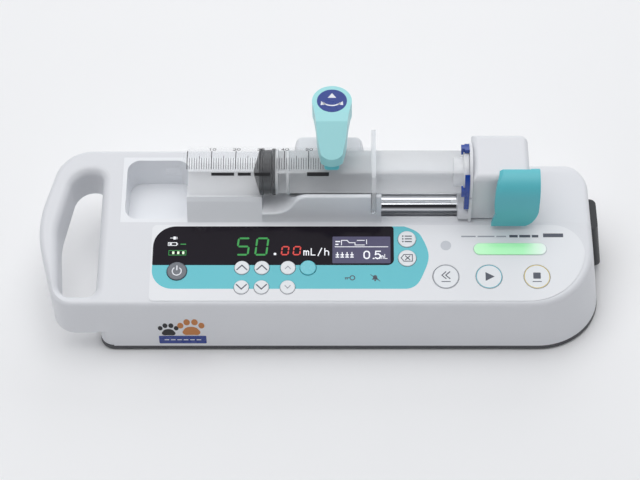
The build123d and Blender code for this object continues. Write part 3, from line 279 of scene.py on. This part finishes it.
def mottled_color(tree, shader, color, spread, scale):
    """Base colour that drifts a little from place to place."""
    texture = noise(tree, scale)
    mix = tree.nodes.new("ShaderNodeMix")
    mix.data_type = "RGBA"
    mix.inputs["A"].default_value = shade(color, 1 - spread)
    mix.inputs["B"].default_value = shade(color, 1 + spread)
    link(tree, texture.outputs["Fac"], mix.inputs["Factor"])
    link(tree, mix.outputs["Result"], shader.inputs["Base Color"])


def varied_roughness(tree, shader, rough, spread, scale, stretch=None):
    """Gloss that changes a little from place to place."""
    texture = noise(tree, scale, stretch=stretch)
    spanning = tree.nodes.new("ShaderNodeMapRange")
    spanning.inputs["To Min"].default_value = rough - spread
    spanning.inputs["To Max"].default_value = rough + spread
    link(tree, texture.outputs["Fac"], spanning.inputs["Value"])
    link(tree, spanning.outputs["Result"], shader.inputs["Roughness"])


def grain_bump(tree, shader, scale, strength, depth, stretch=None):
    """Fine surface relief, depth metres deep."""
    texture = noise(tree, scale, detail=4.0, stretch=stretch)
    bump = tree.nodes.new("ShaderNodeBump")
    bump.inputs["Strength"].default_value = strength
    bump.inputs["Distance"].default_value = depth
    link(tree, texture.outputs["Fac"], bump.inputs["Height"])
    link(tree, bump.outputs["Normal"], shader.inputs["Normal"])


def plastic(name, color, rough=0.42, grain=1400.0, depth=0.00003, strength=0.25, spread=0.012, coat=0.0,
            soft=0.0, alpha=1.0, gloss=0.5):
    """Moulded plastic: fine spark-eroded grain, slight colour drift and uneven gloss."""
    material, tree, shader = node_material(name)
    mottled_color(tree, shader, color, spread, 14.0)
    varied_roughness(tree, shader, rough, 0.05, 60.0)
    grain_bump(tree, shader, grain, strength, depth)
    shader.inputs["Coat Weight"].default_value = coat
    shader.inputs["Coat Roughness"].default_value = 0.12
    shader.inputs["Subsurface Weight"].default_value = soft
    shader.inputs["Subsurface Radius"].default_value = (0.002, 0.002, 0.002)
    shader.inputs["Alpha"].default_value = alpha
    shader.inputs["Specular IOR Level"].default_value = gloss
    return material


def metal(name, color, rough, along=(1, 1, 1), scale=900.0, strength=0.15, depth=0.00002):
    """Metal with fine machining marks, drawn out along one axis by along."""
    material, tree, shader = node_material(name)
    mottled_color(tree, shader, color, 0.04, 30.0)
    varied_roughness(tree, shader, rough, rough * 0.35, scale, along)
    grain_bump(tree, shader, scale, strength, depth, along)
    shader.inputs["Metallic"].default_value = 1.0
    return material


def lit(name, color, strength, base=(0.02, 0.02, 0.02)):
    """Glowing segment with a slightly uneven light."""
    material, tree, shader = node_material(name)
    mottled_color(tree, shader, base, 0.2, 200.0)
    texture = noise(tree, 500.0)
    spanning = tree.nodes.new("ShaderNodeMapRange")
    spanning.inputs["To Min"].default_value = strength * 0.85
    spanning.inputs["To Max"].default_value = strength * 1.15
    link(tree, texture.outputs["Fac"], spanning.inputs["Value"])
    link(tree, spanning.outputs["Result"], shader.inputs["Emission Strength"])
    shader.inputs["Emission Color"].default_value = (*color, 1.0)
    return material


def glowing_bar(name, x_from, x_to):
    """Light pipe: bright green at its left, fading to clear plastic at its right."""
    material, tree, shader = node_material(name)
    where = tree.nodes.new("ShaderNodeTexCoord")
    parts = tree.nodes.new("ShaderNodeSeparateXYZ")
    along = tree.nodes.new("ShaderNodeMapRange")
    along.inputs["From Min"].default_value = x_from
    along.inputs["From Max"].default_value = x_to
    ramp = tree.nodes.new("ShaderNodeValToRGB")
    stops = ((0.0, (0.42, 0.80, 0.46, 1)), (0.35, (0.34, 0.82, 0.40, 1)), (0.68, (0.33, 0.80, 0.40, 1)),
             (0.88, (0.55, 0.78, 0.60, 1)), (1.0, (0.66, 0.74, 0.70, 1)))
    ramp.color_ramp.elements[0].position, ramp.color_ramp.elements[0].color = stops[0]
    ramp.color_ramp.elements[1].position, ramp.color_ramp.elements[1].color = stops[-1]
    for position, color in stops[1:-1]:
        ramp.color_ramp.elements.new(position).color = color
    link(tree, where.outputs["Object"], parts.inputs["Vector"])
    link(tree, parts.outputs["X"], along.inputs["Value"])
    link(tree, along.outputs["Result"], ramp.inputs["Fac"])
    link(tree, ramp.outputs["Color"], shader.inputs["Base Color"])
    link(tree, ramp.outputs["Color"], shader.inputs["Emission Color"])
    varied_roughness(tree, shader, 0.25, 0.05, 80.0)
    shader.inputs["Emission Strength"].default_value = 0.28
    shader.inputs["Coat Weight"].default_value = 0.5
    return material


WHITE = (0.76, 0.77, 0.795)
TEAL = (0.105, 0.565, 0.640)
light_low, light_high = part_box("light_bar")
MATERIALS = {
    "white_shell": plastic("white_shell", WHITE, rough=0.38, spread=0.010, soft=0.05),
    # the tray is the same white plastic as the shell; its lighter base colour is painted light that brightens
    # the trough and cradle, which lie in shade
    "white_tray": plastic("white_tray", (0.86, 0.875, 0.90), rough=0.34, spread=0.010, soft=0.05),
    "dark_base": plastic("dark_base", (0.070, 0.072, 0.078), rough=0.50, grain=1800.0, strength=0.5,
                         spread=0.05),
    "black_cover": plastic("black_cover", (0.018, 0.020, 0.024), rough=0.42, grain=1800.0, strength=0.4,
                           spread=0.08),
    "rubber_black": plastic("rubber_black", (0.022, 0.022, 0.024), rough=0.72, grain=900.0, strength=0.6,
                            spread=0.10),
    "steel_screw": metal("steel_screw", (0.56, 0.57, 0.59), 0.24, along=(1, 1, 0.1)),
    "white_sheet": plastic("white_sheet", (0.83, 0.84, 0.86), rough=0.30, grain=2600.0, strength=0.12,
                           spread=0.006),
    "teal_sheet": plastic("teal_sheet", TEAL, rough=0.34, grain=2600.0, strength=0.12, spread=0.015),
    "black_window": plastic("black_window", (0.013, 0.010, 0.016), rough=0.12, grain=400.0, strength=0.02,
                            spread=0.2, gloss=0.06),
    "green_lens": glowing_bar("green_lens", light_low.x, light_high.x),
    "key_grey": plastic("key_grey", (0.095, 0.110, 0.135), rough=0.28, spread=0.05, coat=0.3),
    "key_white": plastic("key_white", (0.82, 0.84, 0.86), rough=0.26, spread=0.01, coat=0.2, soft=0.05),
    "key_teal": plastic("key_teal", (0.13, 0.60, 0.68), rough=0.28, spread=0.02, coat=0.2),
    "circuit_board": plastic("circuit_board", (0.015, 0.12, 0.045), rough=0.35, spread=0.15, grain=700.0),
    "module_black": plastic("module_black", (0.015, 0.015, 0.018), rough=0.22, spread=0.1),
    "tinned_parts": metal("tinned_parts", (0.60, 0.61, 0.62), 0.32),
    "battery_wrap": plastic("battery_wrap", (0.03, 0.10, 0.36), rough=0.30, spread=0.05),
    "motor_body": plastic("motor_body", (0.02, 0.02, 0.022), rough=0.36, spread=0.08),
    "alloy": metal("alloy", (0.62, 0.63, 0.65), 0.33, along=(0.15, 1, 1)),
    "bearing_steel": metal("bearing_steel", (0.58, 0.59, 0.61), 0.18, along=(0.1, 1, 1)),
    "brass_nut": metal("brass_nut", (0.70, 0.50, 0.20), 0.28, along=(0.2, 1, 1)),
    "belt_rubber": plastic("belt_rubber", (0.02, 0.02, 0.02), rough=0.7, grain=1500.0, strength=0.6,
                           spread=0.1),
    "chrome_tube": metal("chrome_tube", (0.80, 0.81, 0.83), 0.06, along=(0.02, 1, 1), scale=1200.0,
                         strength=0.04),
    "nylon_bush": plastic("nylon_bush", (0.72, 0.72, 0.68), rough=0.40, spread=0.02, soft=0.1),
    "teal_lever": plastic("teal_lever", (0.115, 0.535, 0.600), rough=0.40, grain=1600.0, strength=0.25,
                          spread=0.02),
    "pale_teal_clamp": plastic("pale_teal_clamp", (0.36, 0.74, 0.76), rough=0.36, grain=1800.0, strength=0.2,
                               spread=0.015, soft=0.08),
    "blue_hook": plastic("blue_hook", (0.010, 0.055, 0.33), rough=0.26, spread=0.04, coat=0.3),
    "clear_barrel": plastic("clear_barrel", (0.88, 0.90, 0.93), rough=0.14, grain=300.0, strength=0.05,
                            spread=0.01, alpha=0.045, gloss=0.25),
    "clear_flange": plastic("clear_flange", (0.88, 0.90, 0.93), rough=0.22, grain=300.0, strength=0.05,
                            spread=0.01, alpha=0.45),
    "translucent_rod": plastic("translucent_rod", (0.93, 0.945, 0.96), rough=0.30, grain=500.0, strength=0.10,
                               spread=0.015, soft=0.2, alpha=0.60),
    "seal_rubber": plastic("seal_rubber", (0.020, 0.020, 0.023), rough=0.38, grain=700.0, strength=0.2,
                           spread=0.1),
    "spring_wire": metal("spring_wire", (0.5, 0.51, 0.53), 0.25),
    "ink_dark": plastic("ink_dark", (0.075, 0.085, 0.115), rough=0.45, spread=0.08),
    "ink_grey": plastic("ink_grey", (0.36, 0.38, 0.42), rough=0.45, spread=0.05),
    "ink_pale": plastic("ink_pale", (0.60, 0.62, 0.66), rough=0.40, spread=0.03),
    "ink_teal": plastic("ink_teal", (0.10, 0.50, 0.60), rough=0.45, spread=0.05),
    "ink_yellow": plastic("ink_yellow", (0.72, 0.56, 0.16), rough=0.45, spread=0.05),
    "ink_black": plastic("ink_black", (0.012, 0.012, 0.014), rough=0.5, spread=0.1),
    "ink_blue": plastic("ink_blue", (0.012, 0.040, 0.260), rough=0.28, spread=0.06, coat=0.2),
    "ink_orange": plastic("ink_orange", (0.55, 0.20, 0.045), rough=0.40, spread=0.06),
    "ink_white": plastic("ink_white", (0.80, 0.82, 0.86), rough=0.40, spread=0.02),
    "glow_green": lit("glow_green", (0.04, 0.62, 0.11), 0.50, base=(0.005, 0.03, 0.008)),
    "glow_red": lit("glow_red", (1.0, 0.07, 0.05), 0.72, base=(0.05, 0.006, 0.006)),
    "lamp_core": lit("lamp_core", (0.80, 1.0, 0.70), 0.9, base=(0.2, 0.3, 0.2)),
    "glow_white": lit("glow_white", (0.92, 0.94, 1.0), 0.85, base=(0.2, 0.2, 0.2)),
    "lcd_ground": lit("lcd_ground", (0.085, 0.075, 0.170), 0.55, base=(0.02, 0.02, 0.04)),
}

for entry in frame["record"]["subparts"]:
    node = NODES[entry["node"]]
    node.data.materials.clear()
    node.data.materials.append(MATERIALS[entry["material_slot"]])

# the barrel's thick finger flange looks milkier than its thin wall
barrel = NODES["syringe_barrel"].data
flange_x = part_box("syringe_barrel")[1].x - FLANGE_DEPTH * MM
barrel.materials.append(MATERIALS["clear_flange"])
for polygon in barrel.polygons:
    polygon.material_index = int(polygon.center.x > flange_x)


# ---- prints on the display window ----------------------------------------------------------------
def window_print(name, drawing, y, glow):
    """Lit mark on the black window, drawn about height y on the panel."""
    printed(name, drawing, on_panel(0, y), MATERIALS[glow], "root")


def display_prints():
    """Rate digits in two sizes with their point and unit."""
    whole_y, tenths_y = -20.5, -20.3
    green = [face for digit, x in (("5", -53.6), ("0", -42.1))
             for face in shift(seven_segment(digit, 8.0, 12.6, 1.15), x, 0)]
    window_print("rate_digits_whole", green, whole_y, "glow_green")
    red = [face for x in (-25.7, -18.4) for face in shift(seven_segment("0", 4.9, 6.4, 0.85), x, 0)]
    window_print("rate_digits_tenths", red, tenths_y, "glow_red")
    marks = disc(-29.2, 0.9, 0.85) + shift(written("mL/h", 4.4, 0.85), -11.3, 0.2)
    window_print("rate_unit", marks, tenths_y, "glow_white")


def status_prints():
    """Mains and battery signs with their lamps, at the window's left."""
    plug = bar(-92.6, 3.6, -91.2, 5.6)
    for line in ([(-91.2, 5.1), (-90.2, 5.1)], [(-91.2, 4.1), (-90.2, 4.1)], [(-94.4, 4.6), (-92.6, 4.6)]):
        plug += stroke(line, 0.35)
    battery = stroke([(-95.6, -0.6), (-95.6, 1.4), (-90.4, 1.4), (-90.4, -0.6), (-95.6, -0.6)], 0.4)
    battery += bar(-90.2, 0.0, -89.6, 0.8) + bar(-94.9, -0.1, -93.4, 0.9)
    window_print("status_signs", plug + battery, -13.0, "glow_white")
    battery_y = -18.6
    lamps = [face for step in range(3) for face in bar(-92.9 + 3.1 * step, -0.9, -91.6 + 3.1 * step, 0.9)]
    window_print("battery_lamps", lamps, battery_y, "lamp_core")
    frames = stroke([(-95.0, -1.6), (-84.4, -1.6), (-84.4, 1.6), (-95.0, 1.6), (-95.0, -1.6)], 0.35)
    window_print("battery_lamp_frame", frames, battery_y, "glow_green")
    window_print("mains_lamp", bar(-88.0, 0.2, -84.6, 0.8), -13.2, "glow_green")


def screen_prints():
    """Small liquid crystal screen: ground, dividing line, volume read-out and pictograms."""
    middle_x, middle_y, ground = 24.4, -16.6, 0.03
    printed("screen_ground", plate(0, 0, 36.0, 18.6, 0.6), on_panel(middle_x, middle_y),
            MATERIALS["lcd_ground"], "root", thick=ground)
    lines = bar(-16.6, 1.9, 16.6, 2.35)
    lines += shift(written("0.5", 5.0, 0.95, spacing=1.3), 1.6, -6.0)
    lines += shift(written("mL", 2.9, 0.85, spacing=1.4), 11.6, -6.0)
    for row, length in enumerate((5.0, 3.2)):
        lines += bar(-16.2, 5.4 - 2.0 * row, -16.2 + length * 0.6, 6.2 - 2.0 * row)
    trend = [(-12.4, 3.4), (-12.4, 6.6), (-9.0, 6.6), (-7.6, 5.0), (-4.0, 5.0), (-4.0, 3.4), (1.8, 3.4)]
    lines += stroke(trend, 0.45)
    lines += stroke([(-2.6, 6.6), (1.8, 6.6)], 0.45) + stroke([(3.2, 4.2), (3.2, 7.0)], 0.45)
    for column in range(4):
        lines += bar(-16.0 + 3.0 * column, -5.4, -13.8 + 3.0 * column, -4.7)
        lines += bar(-16.0 + 3.0 * column, -3.8, -13.8 + 3.0 * column, -3.1)
        lines += bar(-15.2 + 3.0 * column, -5.4, -14.6 + 3.0 * column, -1.6)
    printed("screen_marks", lines, on_panel(middle_x, middle_y, SHEET_T + ground),
            MATERIALS["glow_white"], "root")


# ---- prints on keys and panel --------------------------------------------------------------------
def key_print(key, name, drawing, ink="ink_dark"):
    """Sign printed on a key, which it rides on."""
    printed(f"{key}_{name}", drawing, on_key(key), MATERIALS[ink], key)


def key_prints():
    """A generic sign on every key."""
    for place in ("tens", "ones"):
        key_print(f"up_key_{place}", "arrow", chevron(6.0, 3.0, 0.75))
        key_print(f"down_key_{place}", "arrow", chevron(6.0, 3.0, 0.75, down=True))
    key_print("up_key_tenths", "arrow", chevron(3.2, 1.7, 0.55), "ink_grey")
    key_print("down_key_tenths", "arrow", chevron(3.2, 1.7, 0.55, down=True), "ink_grey")
    power = arc_band(0, -0.2, 3.1, 2.4, 125, 415) + bar(-0.4, 0.4, 0.4, 3.6)
    key_print("power_key", "sign", power, "ink_white")
    listing = [face for row in (1.9, 0.0, -1.9)
               for face in bar(-1.4, row - 0.35, 3.0, row + 0.35) + disc(-2.6, row, 0.5)]
    key_print("display_key", "sign", listing)
    cross = stroke([(-1.0, -1.3), (1.6, 1.3)], 0.6) + stroke([(-1.0, 1.3), (1.6, -1.3)], 0.6)
    tag = stroke([(-3.8, 0), (-2.0, 2.3), (3.2, 2.3), (3.2, -2.3), (-2.0, -2.3), (-3.8, 0)], 0.5)
    key_print("clear_key", "sign", cross + tag)
    for key, ink in (("bolus_key", "ink_grey"), ("start_key", "ink_teal"), ("stop_key", "ink_yellow")):
        key_print(key, "ring", arc_band(0, 0, 8.0, 7.55, steps=72), ink)
    fast = [face for x in (-1.3, 1.1)
            for face in stroke([(x + 1.3, 3.2), (x - 1.2, 0.9), (x + 1.3, -1.4)], 0.6)]
    underline = bar(-2.8, -3.7, 2.8, -3.2)
    key_print("bolus_key", "sign", fast + underline)
    key_print("start_key", "sign", [[(-2.2, -3.0), (3.4, 0.0), (-2.2, 3.0)]])
    key_print("stop_key", "sign", plate(0, 0.6, 4.6, 4.2, 0.4) + underline)


def panel_print(name, drawing, x, y, ink):
    """Mark printed on the panel sheet about (x, y)."""
    printed(name, drawing, on_panel(x, y), MATERIALS[ink], "root")


def panel_prints():
    """Pictograms and sensor window printed on the panel sheet."""
    lock = arc_band(18.8, 0, 1.75, 1.15, steps=32) + stroke([(14.4, 0), (17.2, 0)], 0.55)
    lock += stroke([(14.6, 0), (14.6, -0.9)], 0.5) + stroke([(15.6, 0), (15.6, -0.9)], 0.5)
    bell = [[(30.6, -1.2), (35.0, -1.2), (34.2, -0.3), (33.9, 1.4), (32.8, 2.0), (31.7, 1.4), (31.4, -0.3)]]
    bell += disc(32.8, -1.8, 0.55) + stroke([(30.0, 2.2), (35.8, -2.2)], 0.4)
    panel_print("teal_band_signs", lock + bell, 0, -35.6, "ink_dark")
    panel_print("light_sensor_window", disc(76.8, 0, 3.3), 0, -13.6, "ink_pale")
    caption = lettering((9.0, 10.5, 6.0), 0.9, 1.2)
    panel_print("panel_caption", caption, 86.5, -7.4, "ink_grey")
    heading = lettering((5.2, 6.8, 4.0), 1.7, 1.0) + shift(lettering((12.5,), 2.6, 0), 21.0, 0.6)
    panel_print("panel_heading", heading, 116.5, -7.2, "ink_dark")
    low, high = (corner / MM for corner in (light_low, light_high))
    x, wide = (low.x + high.x) / 2, high.x - low.x
    tall = (high.y - low.y) / cos(SLOPE)
    rim = ring_plate(wide + 1.2, tall + 1.0, wide + 0.5, tall + 0.3)
    panel_print("light_bar_rim", rim, x, (low.y + high.y) / 2, "ink_pale")


def lettering(lengths, tall, gap):
    """Row of plain bars of the given lengths, standing in for a line of small print."""
    faces, at = [], 0.0
    for length in lengths:
        faces += bar(at, -tall / 2, at + length, tall / 2)
        at += length + gap
    return faces


def ring_plate(wide, tall, inner_wide, inner_tall):
    """Band between two stadium shapes."""
    outer = plate(0, 0, wide, tall, tall / 2 - 0.01)[0]
    inner = plate(0, 0, inner_wide, inner_tall, inner_tall / 2 - 0.01)[0]
    count = len(outer)
    return [[outer[i], outer[(i + 1) % count], inner[(i + 1) % count], inner[i]] for i in range(count)]


# ---- sticker on the front wall -------------------------------------------------------------------
def paw():
    """Four toe pads and a heel pad about the origin."""
    pads = disc(-6.2, 2.6, 1.8, 2.5) + disc(-2.3, 5.6, 1.9, 2.7)
    pads += disc(2.3, 5.6, 1.9, 2.7) + disc(6.2, 2.6, 1.8, 2.5)
    heel = curve_points(0, -1.9, 4.4, 20, 160, 14, tall=3.4) + curve_points(-2.8, -3.4, 2.5, 150, 290, 10)
    heel += curve_points(2.8, -3.4, 2.5, 250, 390, 10)
    return pads + [heel]


def sticker():
    """Sticker with two paw prints over a blue strip."""
    film = 0.12
    wall = on_front_wall(-87.0, 20.5)

    def stuck(name, drawing, ink, thick=film, lift=0.0):
        lay = wall @ Matrix.Translation((0, 0, lift))
        printed(name, drawing, lay, MATERIALS[ink], "root", thick=thick)

    stuck("sticker_strip", plate(0, -10.4, 29.5, 7.2, 0.8), "ink_blue")
    for name, (x, y), size, ink in (("sticker_small_paw", (-8.4, -1.6), 0.80, "ink_black"),
                                    ("sticker_large_paw", (5.8, 0.2), 1.05, "ink_orange")):
        stuck(name, [[(x + px * size, y + py * size) for px, py in face] for face in paw()], ink)
    dashes = [face for step in range(6) for face in bar(-11.4 + 4.0 * step, -10.8, -8.6 + 4.0 * step, -10.1)]
    stuck("sticker_dashes", dashes, "ink_white", thick=INK, lift=film)


# ---- scale on the syringe barrel -----------------------------------------------------------------
SCALE_START, SCALE_STEP = -82.4, 14.87       # x of the zero line, mm along the barrel per 10 ml
SCALE_END = 60                               # ml
TICK_TOP = 97.0                              # angle of the scale's upper edge, degrees from the rear


def round_barrel(x, y, lift):
    """Point on the barrel: y runs down its front from the scale's upper edge."""
    angle = radians(TICK_TOP) + (-y) / BARREL_R
    radius = BARREL_R + 0.02 + lift
    return Vector((x, SYRINGE_Y + radius * cos(angle), SYRINGE_Z + radius * sin(angle))) * MM


def tall_bar(x0, x1, y0, y1, steps):
    """Bar cut into steps so that it bends round the barrel."""
    rows = [y0 + (y1 - y0) * i / steps for i in range(steps + 1)]
    return [face for a, b in zip(rows, rows[1:]) for face in bar(x0, a, x1, b)]


def stepped(face, steps):
    """Upright rectangle cut into steps."""
    (x0, y0), (x1, y1) = face[0], face[2]
    return tall_bar(x0, x1, y0, y1, steps)


def barrel_scale():
    """Graduation lines every 1 ml, longer at 5 ml and 10 ml, with their numbers."""
    lines, numbers = [], []
    for ml in range(SCALE_END + 1):
        x = SCALE_START + ml * SCALE_STEP / 10
        top, width = (6.0, 0.50) if ml % 10 == 0 else (1.6, 0.34) if ml % 5 == 0 else (0.0, 0.30)
        lines += tall_bar(x - width / 2, x + width / 2, -7.4, top, 6)
        if ml % 10 == 0 and 0 < ml < SCALE_END:
            numbers += shift(written(str(ml), 2.6, 0.9), x - 1.9, 6.6)
    notice = shift(lettering((14.0, 8.0, 9.5), 1.9, 2.2), -67.5, -10.4)
    notice += shift(lettering((13.5,), 2.4, 0), -9.0, -10.4)
    bent = [cut for face in notice for cut in stepped(face, 3)]
    for name, drawing in (("barrel_notice", bent), ("barrel_scale_lines", lines),
                          ("barrel_scale_numbers", numbers)):
        printed(name, drawing, None, MATERIALS["ink_black"], "root", wrap=round_barrel)


# ---- badge on the clamp --------------------------------------------------------------------------
def clamp_badge():
    """Blue badge with a curved double arrow under a small arrow head."""
    low, high = (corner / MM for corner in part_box("clamp_lever"))
    rod_low, rod_high = (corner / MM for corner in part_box("clamp_rod"))
    middle = Vector(((rod_low.x + rod_high.x) / 2, (rod_low.y + rod_high.y) / 2, high.z))
    lay = sheet_matrix(middle, Vector((1, 0, 0)), Vector((0, 1, 0)))
    film = 0.08
    printed("clamp_badge", disc(0, 0, 9.2, steps=64), lay, MATERIALS["ink_blue"], "clamp_lever",
            thick=film)
    arrow = arc_band(0, 3.2, 7.6, 6.7, 222, 318, 24)
    for side in (-1, 1):
        arrow.append([(side * 6.6, -0.4), (side * 6.9, -3.6), (side * 3.6, -3.0)][::side])
    arrow.append([(-2.6, 2.4), (2.6, 2.4), (0, 6.2)])
    printed("clamp_badge_arrow", arrow, lay @ Matrix.Translation((0, 0, film)), MATERIALS["ink_white"],
            "clamp_lever")


display_prints()
status_prints()
screen_prints()
key_prints()
panel_prints()
sticker()
barrel_scale()
clamp_badge()


# ---- studio --------------------------------------------------------------------------------------
def studio_floor():
    """Wide sheet of pale paper under the pump."""
    bm = bmesh.new()
    bmesh.ops.create_grid(bm, x_segments=8, y_segments=8, size=3.0)
    mesh = bpy.data.meshes.new("studio_floor")
    bm.to_mesh(mesh)
    bm.free()
    floor = bpy.data.objects.new("studio_floor", mesh)
    bpy.context.scene.collection.objects.link(floor)
    paper = plastic("studio_paper", (0.93, 0.93, 0.93), rough=0.9, grain=300.0, strength=0.05, spread=0.003)
    mesh.materials.append(paper)


def studio_world():
    """Pale surroundings with a dim stretch over the camera's side, which polished metal mirrors."""
    world = bpy.data.worlds.new("studio")
    world.use_nodes = True
    bpy.context.scene.world = world
    tree = world.node_tree
    where = tree.nodes.new("ShaderNodeTexCoord")
    toward = tree.nodes.new("ShaderNodeVectorMath")
    toward.operation = "DOT_PRODUCT"
    toward.inputs[1].default_value = (0.0, -0.78, 0.62)
    spanning = tree.nodes.new("ShaderNodeMapRange")
    spanning.inputs["From Min"].default_value = 0.86
    spanning.inputs["From Max"].default_value = 0.93
    ramp = tree.nodes.new("ShaderNodeMix")
    ramp.data_type = "RGBA"
    ramp.inputs["A"].default_value = (0.93, 0.95, 1.0, 1)
    ramp.inputs["B"].default_value = (0.06, 0.06, 0.07, 1)
    link(tree, where.outputs["Generated"], toward.inputs[0])
    link(tree, toward.outputs["Value"], spanning.inputs["Value"])
    link(tree, spanning.outputs["Result"], ramp.inputs["Factor"])
    background = tree.nodes["Background"]
    link(tree, ramp.outputs["Result"], background.inputs["Color"])
    background.inputs["Strength"].default_value = 0.49


def area_light(name, place, target, size, energy, color=(1, 1, 1)):
    data = bpy.data.lights.new(name, "AREA")
    data.shape = "RECTANGLE"
    data.size, data.size_y = size
    data.energy = energy
    data.color = color
    light = bpy.data.objects.new(name, data)
    light.location = place
    light.rotation_euler = (Vector(target) - Vector(place)).to_track_quat("-Z", "Y").to_euler()
    bpy.context.scene.collection.objects.link(light)


def camera():
    """Camera above the front at the height and distance of a catalogue picture."""
    data = bpy.data.cameras.new("camera")
    data.lens = 107.6
    data.shift_x, data.shift_y = -0.0547, -0.0072
    eye = bpy.data.objects.new("camera", data)
    eye.location = (0.0204, -0.7402, 0.9907)
    eye.rotation_euler = (radians(38.0), 0, 0)
    bpy.context.scene.collection.objects.link(eye)
    bpy.context.scene.camera = eye


studio_floor()
studio_world()
area_light("top_light", (-0.15, 0.10, 1.5), (0, 0, 0.05), (1.6, 1.2), 12.5)
area_light("rear_light", (0.3, 1.3, 0.9), (0, 0, 0.05), (1.4, 0.8), 4.5)
area_light("front_fill", (-0.2, -1.6, 0.5), (0, 0, 0.03), (1.6, 0.8), 0.45)
camera()
bpy.context.scene.view_settings.view_transform = "Standard"
